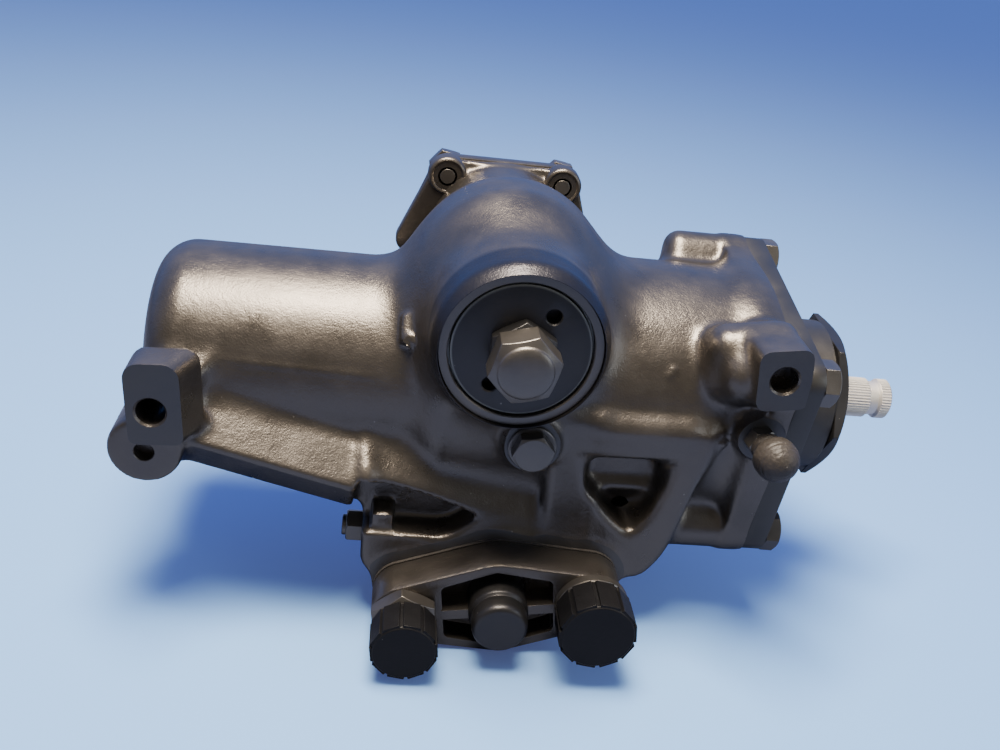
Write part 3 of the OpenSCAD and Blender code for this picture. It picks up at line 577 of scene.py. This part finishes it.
def hexed(name, flats, low, high, place, spin=0.0, trim=0.96, dome=0.0, both=False):
    sides = 72
    rim = flats / 2 * trim
    cone = math.tan(math.radians(30))
    rings = [(0, low)] + ([(rim, low)] if both else []) + [("low", low), ("high", high), (rim, high)]
    if dome:
        for tilt in range(12, 85, 12):
            arc = math.radians(tilt)
            rings.append((rim * math.cos(arc), high + dome * math.sin(arc)))
    rings.append((0, high + dome))
    points, faces, starts = [], [], []
    for radius, height in rings:
        starts.append((len(points), 1 if radius == 0 else sides))
        for k in range(starts[-1][1]):
            across = flats / 2 / math.cos(math.radians(360 * k / sides % 60 - 30))
            reach = across if isinstance(radius, str) else radius
            drop = (across - rim) * cone
            rise = drop if radius == "low" and both else -drop if radius == "high" else 0
            turn = math.radians(spin + 360 * k / sides)
            points.append(place @ Vector((reach * math.cos(turn), reach * math.sin(turn), height + rise)))
    for (a, count_a), (b, count_b) in zip(starts, starts[1:]):
        for k in range(sides):
            n = (k + 1) % sides
            ring = [a + k % count_a, a + n % count_a, b + n % count_b, b + k % count_b]
            faces.append(list(dict.fromkeys(ring)))
    return piece_from(name, points, faces)


def softened(piece, width, angle=28):
    bevel = piece.modifiers.new("edge", "BEVEL")
    bevel.width, bevel.segments, bevel.limit_method = width * mm, 2, "ANGLE"
    bevel.angle_limit = math.radians(angle)


lock_nut = hexed("lock_nut_hex", 27, 0, 7, aim((0, -disc_y, 0), "front"), 30, both=True)
softened(lock_nut, 0.25)
shaded(lock_nut, machined_black, "casing", "machined_black", "lock_nut")
cap_nut = hexed("cap_nut_domed", 27, 0, 13.6, aim((0, -disc_y - 7, 0), "front"), 15, trim=0.86, dome=3.0)
softened(cap_nut, 0.3)
shaded(cap_nut, bolt_black, "casing", "machined_black", "cap_nut")

# Plug: a steel hexagon screw that closes a drilling in the ring boss under the neck. A flat washer under its
# head seals it.
washer = turned(
    "plug_washer_ring",
    [(6.05, 0), (11, 0), (11, 1.2), (10.6, 1.6), (6.05, 1.6), (6.05, 0)],
    aim((plug_x, -plug_face, plug_z), "front"),
)
shaded(washer, bolt_black, "casing", "bolt_black", "plug_washer")
plug = hexed("plug_hex", 17, 0, 6, aim((plug_x, -plug_face - 1.6, plug_z), "front"), 10, trim=0.94)
softened(plug, 0.2)
shaded(plug, bolt_black, "casing", "bolt_black", "plug_screw")

# Rear cover: a square cast plate with a hub for the output seal, painted with the housing. Four hexagon bolts
# go through it into the ears of the flange.
plate_back, hub_y, seal_r = neck_rear + 8.0, neck_rear + 16.5, 18.4


def joined(pieces):
    work = bmesh.new()
    for piece in pieces:
        work.from_mesh(piece.data)
    whole = pieces[0]
    work.to_mesh(whole.data)
    work.free()
    for piece in pieces[1:]:
        bpy.data.objects.remove(piece)
    return whole


rear_place = aim((0, 0, 0), "rear")
corners = [(a * ear_half, b * ear_half, ear_r - 1) for a in (-1, 1) for b in (-1, 1)]
rear_plate = plate("rear_cover_plate", corners, neck_rear, plate_back, 1.2, rear_place)
cut(rear_plate, [turned("seal_bore", [(0, 60), (seal_r, 60), (seal_r, 90), (0, 90)], rear_place)])
hub = turned(
    "rear_hub",
    [(seal_r, neck_rear + 1), (33.5, neck_rear + 1), (33.5, plate_back), (32.4, plate_back + 1),
     (30.2, hub_y - 1), (29.2, hub_y), (25.6, hub_y), (25, hub_y - 0.6), (25, hub_y - 10),
     (seal_r, hub_y - 10), (seal_r, neck_rear + 1)],
    rear_place,
)
rear_cover = joined([rear_plate, hub])
shaded(rear_cover, cast_black, "casing", "cast_black", "rear_cover")

bolt_tree = bpy.data.node_groups.new("hexagon_bolts", "GeometryNodeTree")
for name in ("Flats", "Head", "Shank Radius", "Shank Length", "Spacing X", "Spacing Y", "Spin"):
    bolt_tree.interface.new_socket(name, in_out="INPUT", socket_type="NodeSocketFloat")
bolt_tree.interface.new_socket("Material", in_out="INPUT", socket_type="NodeSocketMaterial")
bolt_tree.interface.new_socket("Geometry", in_out="OUTPUT", socket_type="NodeSocketGeometry")
given = node(bolt_tree, "NodeGroupInput").outputs


def moved(tree, geometry, rise, turn=0.0):
    lift = node(tree, "ShaderNodeCombineXYZ", Z=rise).outputs[0]
    spin = node(tree, "ShaderNodeCombineXYZ", Z=turn).outputs[0]
    return node(
        tree, "GeometryNodeTransform", Geometry=geometry, Translation=lift, Rotation=spin
    ).outputs[0]


corner = worked(bolt_tree, "DIVIDE", given["Flats"], math.sqrt(3))
flat_r = worked(bolt_tree, "MULTIPLY", given["Flats"], 0.48)
half_head = worked(bolt_tree, "DIVIDE", given["Head"], 2.0)
prism = node(
    bolt_tree, "GeometryNodeMeshCylinder", Vertices=6, Radius=corner, Depth=given["Head"]
).outputs[0]
prism = moved(bolt_tree, prism, half_head, given["Spin"])
wide = worked(bolt_tree, "ADD", flat_r, worked(bolt_tree, "MULTIPLY", given["Head"], math.sqrt(3)))
cone = node(
    bolt_tree, "GeometryNodeMeshCone", Vertices=72, Radius_Top=flat_r, Radius_Bottom=wide,
    Depth=given["Head"]
).outputs[0]
head_shape = node(bolt_tree, "GeometryNodeMeshBoolean", operation="INTERSECT", solver="MANIFOLD")
bolt_tree.links.new(prism, head_shape.inputs[1])
bolt_tree.links.new(cone, head_shape.inputs[1])
shank = node(
    bolt_tree, "GeometryNodeMeshCylinder", Vertices=48, Radius=given["Shank Radius"],
    Depth=given["Shank Length"]
).outputs[0]
shank = moved(bolt_tree, shank, worked(bolt_tree, "DIVIDE", given["Shank Length"], -2.0))
collar = node(bolt_tree, "GeometryNodeMeshCylinder", Vertices=64, Radius=flat_r, Depth=0.8).outputs[0]
bolt = node(bolt_tree, "GeometryNodeJoinGeometry")
for shape in (head_shape.outputs[0], shank, moved(bolt_tree, collar, 0.3)):
    bolt_tree.links.new(shape, bolt.inputs[0])
spots = node(
    bolt_tree, "GeometryNodeMeshGrid", Vertices_X=2, Vertices_Y=2, Size_X=given["Spacing X"],
    Size_Y=given["Spacing Y"]
).outputs[0]
bolts = node(bolt_tree, "GeometryNodeInstanceOnPoints", Points=spots, Instance=bolt.outputs[0]).outputs[0]
bolts = node(bolt_tree, "GeometryNodeRealizeInstances", Geometry=bolts).outputs[0]
bolts = node(bolt_tree, "GeometryNodeSetMaterial", Geometry=bolts, Material=given["Material"]).outputs[0]
node(bolt_tree, "NodeGroupOutput", Geometry=bolts)


def grown(name, tree, place, core=None, **sizes):
    piece = core or piece_from(name, [], [])
    piece.name = name
    maker = piece.modifiers.new("maker", "NODES")
    maker.node_group = tree
    for socket in tree.interface.items_tree:
        if socket.name.replace(" ", "_") in sizes:
            maker[socket.identifier] = sizes[socket.name.replace(" ", "_")]
    result = bpy.data.meshes.new_from_object(piece.evaluated_get(bpy.context.evaluated_depsgraph_get()))
    piece.modifiers.clear()
    piece.data = result
    result.transform(place)
    return piece


rear_bolts = grown(
    "rear_cover_bolt_set", bolt_tree, aim((0, plate_back, 0), "rear"),
    Flats=17.0, Head=6.4, Shank_Radius=3.9, Shank_Length=16.0,
    Spacing_X=2 * ear_half, Spacing_Y=2 * ear_half, Spin=math.radians(10), Material=bolt_black,
)
softened(rear_bolts, 0.2)
shaded(rear_bolts, bolt_black, "casing", "bolt_black", "rear_cover_bolts")

# End cover: a milled square plate with a round collar for the worm adjuster, painted black. Four hexagon
# bolts hold it to the head.
cover_out, collar_end, collar_r, adjuster_bore = head_face + 11.0, head_face + 36.7, 38.5, 27.05
cover_place = aim((0, 0, worm_z), "right") @ Matrix.Rotation(cover_turn, 4, "Z")
corners = [(a * cover_half_h, b * cover_half_w, cover_corner) for a in (-1, 1) for b in (-1, 1)]
end_plate = plate("end_cover_plate", corners, head_face, cover_out, 0.7, cover_place)
bore_side = [(0, 100), (adjuster_bore, 100), (adjuster_bore, 180), (0, 180)]
cut(end_plate, [turned("adjuster_bore", bore_side, cover_place)])
collar_ring = turned(
    "end_collar",
    [(adjuster_bore, cover_out - 2), (40.5, cover_out - 2), (40.5, cover_out), (39.4, cover_out + 0.4),
     (38.7, cover_out + 1.2), (collar_r, cover_out + 2.4), (collar_r, collar_end - 1),
     (collar_r - 1, collar_end), (adjuster_bore, collar_end), (adjuster_bore, cover_out - 2)],
    cover_place, 144,
)
spigot = turned(
    "spigot",
    [(22.05, 86), (41.95, 86), (41.95, head_face + 1), (22.05, head_face + 1), (22.05, 86)],
    cover_place,
)
end_cover = joined([end_plate, collar_ring, spigot])
milled = painted(
    "milled_black_paint", (0.07, 0.068, 0.064, 1), (0.1, 0.096, 0.088, 1), 0.4, 1500.0, 0.03, 0.8
)
shaded(end_cover, milled, "casing", "machined_black", "end_cover")

end_bolts = grown(
    "end_cover_bolt_set", bolt_tree, cover_place @ Matrix.Translation((0, 0, cover_out)),
    Flats=19.0, Head=7.5, Shank_Radius=5.95, Shank_Length=24.0,
    Spacing_X=2 * cover_half_h, Spacing_Y=2 * cover_half_w, Spin=math.radians(20), Material=bolt_black,
)
softened(end_bolts, 0.2)
shaded(end_bolts, bolt_black, "casing", "bolt_black", "end_cover_bolts")

# Lock ring: a thin wide hexagon of painted steel, screwed on the worm adjuster. It locks the adjuster against
# the collar of the end cover.
ring_place = aim((collar_end, 0, worm_z), "right")
lock_ring = hexed("lock_ring_hex", 73, 0, 6.3, ring_place, 34, trim=0.985)
ring_bore = [(0, -2), (adjuster_bore, -2), (adjuster_bore, 5.4), (28.2, 6.5), (28.2, 9), (0, 9)]
cut(lock_ring, [turned("lock_thread", ring_bore, ring_place)])
softened(lock_ring, 0.35)
shaded(lock_ring, machined_black, "casing", "machined_black", "lock_ring")


def dressed(name, material):
    solid = frame["nodes"][name]
    solid.data.materials.clear()
    solid.data.materials.append(material)


dressed("worm_adjuster", machined_black)

# Input shaft: a bare steel stub with two bands of serrations, and a smooth groove between them for the clamp
# bolt of the steering column.
stub_r, stub_end = 10.4, 208.5
bare_steel = painted("bare_steel", (0.74, 0.71, 0.64, 1), (0.88, 0.85, 0.78, 1), 0.42, 1500.0, 0.04, 0.7)

rib_tree = bpy.data.node_groups.new("ribs_around", "GeometryNodeTree")
rib_tree.interface.new_socket("Geometry", in_out="INPUT", socket_type="NodeSocketGeometry")
rib_tree.interface.new_socket("Count", in_out="INPUT", socket_type="NodeSocketInt")
for name in ("Radius", "Thick", "Width", "Length", "Start", "Turn"):
    rib_tree.interface.new_socket(name, in_out="INPUT", socket_type="NodeSocketFloat")
rib_tree.interface.new_socket("Material", in_out="INPUT", socket_type="NodeSocketMaterial")
rib_tree.interface.new_socket("Geometry", in_out="OUTPUT", socket_type="NodeSocketGeometry")
given = node(rib_tree, "NodeGroupInput").outputs
size = node(
    rib_tree, "ShaderNodeCombineXYZ", X=given["Thick"], Y=given["Width"], Z=given["Length"]
).outputs[0]
rib = node(rib_tree, "GeometryNodeMeshCube", Size=size).outputs[0]
middle_z = worked(rib_tree, "ADD", given["Start"], worked(rib_tree, "DIVIDE", given["Length"], 2.0))
rib = moved(rib_tree, rib, middle_z, given["Turn"])
circle = node(
    rib_tree, "GeometryNodeMeshCircle", Vertices=given["Count"], Radius=given["Radius"]
).outputs[0]
spot = node(rib_tree, "GeometryNodeInputPosition").outputs[0]
way = node(rib_tree, "FunctionNodeAlignRotationToVector", axis="X", pivot_axis="Z", Vector=spot).outputs[0]
ribs = node(rib_tree, "GeometryNodeInstanceOnPoints", Points=circle, Instance=rib, Rotation=way).outputs[0]
whole = node(rib_tree, "GeometryNodeJoinGeometry")
for shape in (given["Geometry"], ribs):
    rib_tree.links.new(shape, whole.inputs[0])
ribbed = node(rib_tree, "GeometryNodeRealizeInstances", Geometry=whole.outputs[0]).outputs[0]
ribbed = node(rib_tree, "GeometryNodeSetMaterial", Geometry=ribbed, Material=given["Material"]).outputs[0]
node(rib_tree, "NodeGroupOutput", Geometry=ribbed)

root_r = stub_r - 0.55
stub_core = turned(
    "stub_core",
    [(0, 100), (stub_r + 0.6, 100), (stub_r + 0.6, 173.6), (stub_r + 0.1, 174.2), (root_r, 174.2),
     (root_r, 196.5), (stub_r - 1.6, 197.5), (stub_r - 1.6, 201.5), (root_r, 202.5), (root_r, stub_end - 0.8),
     (root_r - 0.8, stub_end), (3.2, stub_end), (2.2, stub_end - 2), (0, stub_end - 3)],
    Matrix(),
)
tooth = 0.9
for start, length in ((174.2, 22.0), (202.7, 5.0)):
    stub_core = grown(
        "input_stub", rib_tree, Matrix(), stub_core,
        Count=44, Radius=stub_r - tooth / math.sqrt(2), Thick=tooth, Width=tooth,
        Length=length, Start=start, Turn=math.radians(45), Material=bare_steel,
    )
stub_core.data.transform(aim((0, 0, worm_z), "right"))
shaded(stub_core, bare_steel, "worm", "bare_steel", "input_shaft")

# Port block: a cast rhombic block, held on a fibre gasket by one domed screw in its middle. A bar across its
# sunken front ties the two union seats.
block_back, block_front = port_face + 1.5, port_face + 21.5
tray_floor = block_front - 12
port_ends = [(-port_half, 0, port_end_r), (0, 0, port_middle_r), (port_half, 0, port_end_r)]


def at_port(u):
    return aim(in_mount(u, 0, port_row), "front") @ Matrix.Rotation(mount_tilt, 4, "Z")


port_place = at_port(port_mid)
block = plate("port_block_cast", port_ends, block_back, block_front, 1.6, port_place)
tray_ends = [(u, w, 3) for u, half in ((-23, 12), (0, 18.2), (23, 12)) for w in (-half, half)]
tray = plate("tray", tray_ends, tray_floor, block_front + 6, 0.8, port_place)
cut(block, [tray])
bar = mill("bar", (0, 0, 0), "front", 26.5, 2.6, 13.0)
bar_place = port_place @ Matrix.Translation((0, -1, tray_floor - 0.5))
bar.data.transform(bar_place @ aim((0, 0, 0), "front").inverted())
block = joined([block, bar])
softened(block, 0.5, 40)
shaded(block, cast_black, "casing", "cast_black", "port_block")
gasket_fibre = painted("gasket_fibre", (0.04, 0.036, 0.032, 1), (0.07, 0.062, 0.055, 1), 0.6, 800.0, 0.1)
dressed("port_gasket", gasket_fibre)

dome = turned(
    "port_screw_dome",
    [(0, tray_floor), (14, tray_floor), (14, block_front + 2.6), (13.9, block_front + 3.6),
     (13.5, block_front + 4.3), (12.9, block_front + 4.7), (12.6, block_front + 5.2),
     (12.9, block_front + 5.8), (13.1, block_front + 6.8), (13.1, block_front + 11.5),
     (12.8, block_front + 13), (12.1, block_front + 14.2), (11, block_front + 14.9),
     (9.8, block_front + 15), (0, block_front + 15)],
    port_place,
)
shaded(dome, machined_black, "casing", "machined_black", "port_screw")

# Unions: a hexagon union on the pressure side and a round one on the return side. They are painted steel,
# screwed into the block.
screwed_in = block_front - 12
union_place = at_port(port_mid - port_half)
pressure_union = joined([
    hexed("pressure_union_hex", 29, block_front, block_front + 8.5, union_place, 30, trim=0.95, both=True),
    turned(
        "union_neck",
        [(0, screwed_in), (7.9, screwed_in), (7.9, block_front + 4), (11, block_front + 4),
         (11, block_front + 20), (0, block_front + 20)],
        union_place,
    ),
])
softened(pressure_union, 0.25)
shaded(pressure_union, bolt_black, "casing", "bolt_black", "pressure_union")
return_place = at_port(port_mid + port_half)
return_union = turned(
    "return_union_collar",
    [(0, screwed_in), (9.9, screwed_in), (9.9, block_front), (17.1, block_front),
     (17.5, block_front + 0.4), (17.5, block_front + 4.4), (17, block_front + 5), (13, block_front + 5),
     (13, block_front + 18), (0, block_front + 18)],
    return_place,
)
shaded(return_union, bolt_black, "casing", "bolt_black", "return_union")

# Shipping caps: black moulded plastic with broad grip pads all round and a flat end face. They are pushed on
# the unions to keep dirt out.
cap_black = painted(
    "cap_black_plastic", (0.006, 0.006, 0.007, 1), (0.012, 0.012, 0.013, 1), 0.36, 900.0, 0.06
)
cap_black.node_tree.nodes["Principled BSDF"].inputs["Specular IOR Level"].default_value = 0.2
for name, place, low, r_out, r_in, high in (
    ("pressure_cap", union_place, block_front + 8.5, 15.4, 11.05, 17.5),
    ("return_cap", return_place, block_front + 5, 18.0, 13.05, 18.5),
):
    pitch = 2 * math.pi * r_out / 10
    shell = turned(
        name + "_shell",
        [(r_in, 0), (r_out - 1.1, 0), (r_out - 0.9, 0.3), (r_out - 0.9, high - 0.8), (r_out - 1.7, high),
         (0, high), (0, high - 3.5), (r_in, high - 3.5), (r_in, 0)],
        Matrix(),
    )
    cap = grown(
        name + "_ribbed", rib_tree, place @ Matrix.Translation((0, 0, low)), shell,
        Count=10, Radius=r_out - 1.2, Thick=1.8, Width=0.8 * pitch,
        Length=high - 1.0, Start=0.5, Turn=0.0, Material=cap_black,
    )
    softened(cap, 0.35)
    shaded(cap, cap_black, "casing", "cap_black", name)

# Side plug: a small hexagon plug of painted steel with a round tip. It is screwed into the flank of the port
# boss.
plug_place = aim((-60, -48, -117), "left")
side_plug = joined([
    hexed("side_plug_hex", 14, 0, 8, plug_place, 0, trim=0.94),
    turned("side_plug_tip", [(0, 4), (5, 4), (5, 9.6), (4.6, 10), (0, 10)], plug_place, 48),
])
softened(side_plug, 0.2)
shaded(side_plug, bolt_black, "casing", "bolt_black", "side_plug")

# Bleed screw: a painted steel nipple with a hexagon that leans a little in its boss by the right lug. A
# grooved rubber dust cap is pushed over its tip.
bleed_place = aim((bleed_x, -bleed_face, bleed_z), "front") @ Matrix.Rotation(math.radians(8), 4, "Y")
bleed_screw = joined([
    hexed("bleed_screw_hex", 13, -1.2, 6, bleed_place, 10, trim=0.94),
    turned("bleed_stem", [(0, 4), (4, 4), (4, 18), (0, 18)], bleed_place, 48),
])
softened(bleed_screw, 0.2)
shaded(bleed_screw, bolt_black, "casing", "bolt_black", "bleed_screw")
dome_arc = [
    ((10 - 0.3 * (t % 16 == 8)) * math.cos(math.radians(t)), 18 + 10 * math.sin(math.radians(t)))
    for t in range(0, 85, 4)
]
bleed_cap = turned(
    "bleed_cap_dome",
    [(4.05, 6), (6.6, 6), (7.0, 6.4), (7.0, 9), (6.4, 9.6), (6.4, 11.2), (8.4, 12.4), (9.7, 14), (10, 15.6)]
    + dome_arc + [(0, 28), (0, 18.4), (4.05, 18.4), (4.05, 6)],
    bleed_place,
)
rubber_black = painted("rubber_black", (0.03, 0.026, 0.022, 1), (0.05, 0.043, 0.036, 1), 0.5, 600.0, 0.3)
shaded(bleed_cap, rubber_black, "casing", "rubber_black", "bleed_cap")

# Works inside the casing and the output end: the gear's own solids in ground steel, iron and rubber. The
# output end is cut with a thread and, on its taper, with serrations for the drop arm.
bright_steel = painted("bright_steel", (0.55, 0.55, 0.56, 1), (0.68, 0.68, 0.69, 1), 0.28, 1500.0, 0.02, 1.0)
inner_finishes = {
    "bright_steel": bright_steel,
    "iron": painted("piston_iron", (0.18, 0.17, 0.16, 1), (0.28, 0.27, 0.26, 1), 0.42, 900.0, 0.05, 1.0),
    "rubber_black": rubber_black,
    "machined_black": machined_black,
}
output_steel = painted("output_steel", (0.5, 0.5, 0.51, 1), (0.64, 0.64, 0.65, 1), 0.3, 1500.0, 0.03, 1.0)
tree = output_steel.node_tree
shader = tree.nodes["Principled BSDF"]
on_shaft = node(tree, "ShaderNodeTexCoord").outputs["Object"]
spot = node(tree, "ShaderNodeSeparateXYZ", Vector=on_shaft).outputs
around = worked(tree, "ARCTAN2", spot["Z"], spot["X"])
thread_pitch, teeth_around = 0.002, 36.0
thread_wave = worked(tree, "ADD", worked(tree, "MULTIPLY", spot["Y"], 2 * math.pi / thread_pitch), around)
tooth_wave = worked(tree, "MULTIPLY", around, teeth_around)
relief = 0.0
for wave, low, high, depth in ((thread_wave, 0.0006, 0.0232, 0.55), (tooth_wave, -0.0295, -0.002, 0.4)):
    begun = ranged(tree, spot["Y"], low, low + 0.001)
    ended = ranged(tree, spot["Y"], high, high - 0.001)
    band = worked(tree, "MULTIPLY", worked(tree, "MULTIPLY", begun, ended), depth)
    crest = node(tree, "ShaderNodeMath", operation="SINE", in0=wave).outputs[0]
    relief = worked(tree, "ADD", worked(tree, "MULTIPLY", crest, band), relief)
ground = shader.inputs["Normal"].links[0].from_socket
cut_marks = node(
    tree, "ShaderNodeBump", Height=relief, Distance=0.001, Strength=1.0, Normal=ground
).outputs[0]
tree.links.new(cut_marks, shader.inputs["Normal"])
dressed("sector_shaft", output_steel)
already_dressed = {"worm_adjuster", "port_gasket", "sector_shaft"}
for part in frame["record"]["subparts"]:
    if part["material_slot"] in inner_finishes and part["node"] not in already_dressed:
        dressed(part["node"], inner_finishes[part["material_slot"]])

# Studio: a plain pale floor under the lowest point, a soft warm light from above, cool light around, and the
# camera where the picture was taken from. The floor sends back less light than it shows, so that undersides
# stay dark. To the camera alone it also glows faintly blue: a painted glow that lightens the shadows on it.
floor_z = cad_box[0][2]
floor_half = 30.0
floor = piece_from(
    "studio_floor",
    [(a * floor_half, b * floor_half, floor_z) for a, b in ((-1, -1), (1, -1), (1, 1), (-1, 1))],
    [(0, 1, 2, 3)],
)
pale = bpy.data.materials.new("pale_floor")
pale.use_nodes = True
tree = pale.node_tree
shader = tree.nodes["Principled BSDF"]
seen = node(tree, "ShaderNodeLightPath").outputs["Is Camera Ray"]
floor_tone = mixed(tree, seen, (0.14, 0.185, 0.32, 1), (0.22, 0.5, 0.97, 1))
tree.links.new(floor_tone, shader.inputs["Base Color"])
# Painted glow: to the camera the floor glows faintly blue, which lightens the shadows on it
tree.links.new(worked(tree, "MULTIPLY", seen, 0.12), shader.inputs["Emission Strength"])
shader.inputs["Emission Color"].default_value = (0.4, 0.42, 1.0, 1)
shader.inputs["Roughness"].default_value = 0.7
floor.data.materials.append(pale)

world = bpy.data.worlds.new("studio")
bpy.context.scene.world = world
world.use_nodes = True
sky = world.node_tree
look = node(sky, "ShaderNodeTexCoord").outputs["Generated"]
ahead_part = node(sky, "ShaderNodeSeparateXYZ", Vector=look).outputs["Y"]
ahead_part = ranged(sky, ahead_part, -0.5, 0.6)
sky_tone = mixed(sky, ahead_part, (0.2, 0.185, 0.17, 1), (0.12, 0.31, 1.0, 1))
sky.links.new(sky_tone, sky.nodes["Background"].inputs["Color"])
sky.nodes["Background"].inputs["Strength"].default_value = 0.85


def soft_light(name, at, target, size, power, colour):
    lamp = bpy.data.lights.new(name, "AREA")
    lamp.shape, lamp.size, lamp.energy, lamp.color = "SQUARE", size, power, colour
    holder = bpy.data.objects.new(name, lamp)
    bpy.context.scene.collection.objects.link(holder)
    holder.location = at
    holder.rotation_euler = (Vector(target) - Vector(at)).to_track_quat("-Z", "Y").to_euler()


middle = (0, gear_at.y, -0.05)
soft_light("key", (-0.1, gear_at.y - 0.1, 1.0), middle, 0.5, 40, (1.0, 0.86, 0.7))
soft_light("side", (1.0, gear_at.y - 0.5, 0.35), middle, 0.6, 2.5, (0.8, 0.9, 1.0))

camera_data = bpy.data.cameras.new("camera")
camera_data.sensor_fit, camera_data.sensor_width, camera_data.lens = "HORIZONTAL", 36.0, 37.677
camera = bpy.data.objects.new("camera", camera_data)
bpy.context.scene.collection.objects.link(camera)
camera_at, camera_aim = Vector((-58.333, -474.0, 182.151)), Vector((3.302, 0, -53.418))
camera_roll = Matrix.Rotation(math.radians(7.7053), 4, "Z")
camera_turn = (camera_aim - camera_at).to_track_quat("-Z", "Y").to_matrix().to_4x4() @ camera_roll
camera.matrix_world = Matrix.Translation(gear_at + camera_at * mm) @ camera_turn
bpy.context.scene.camera = camera
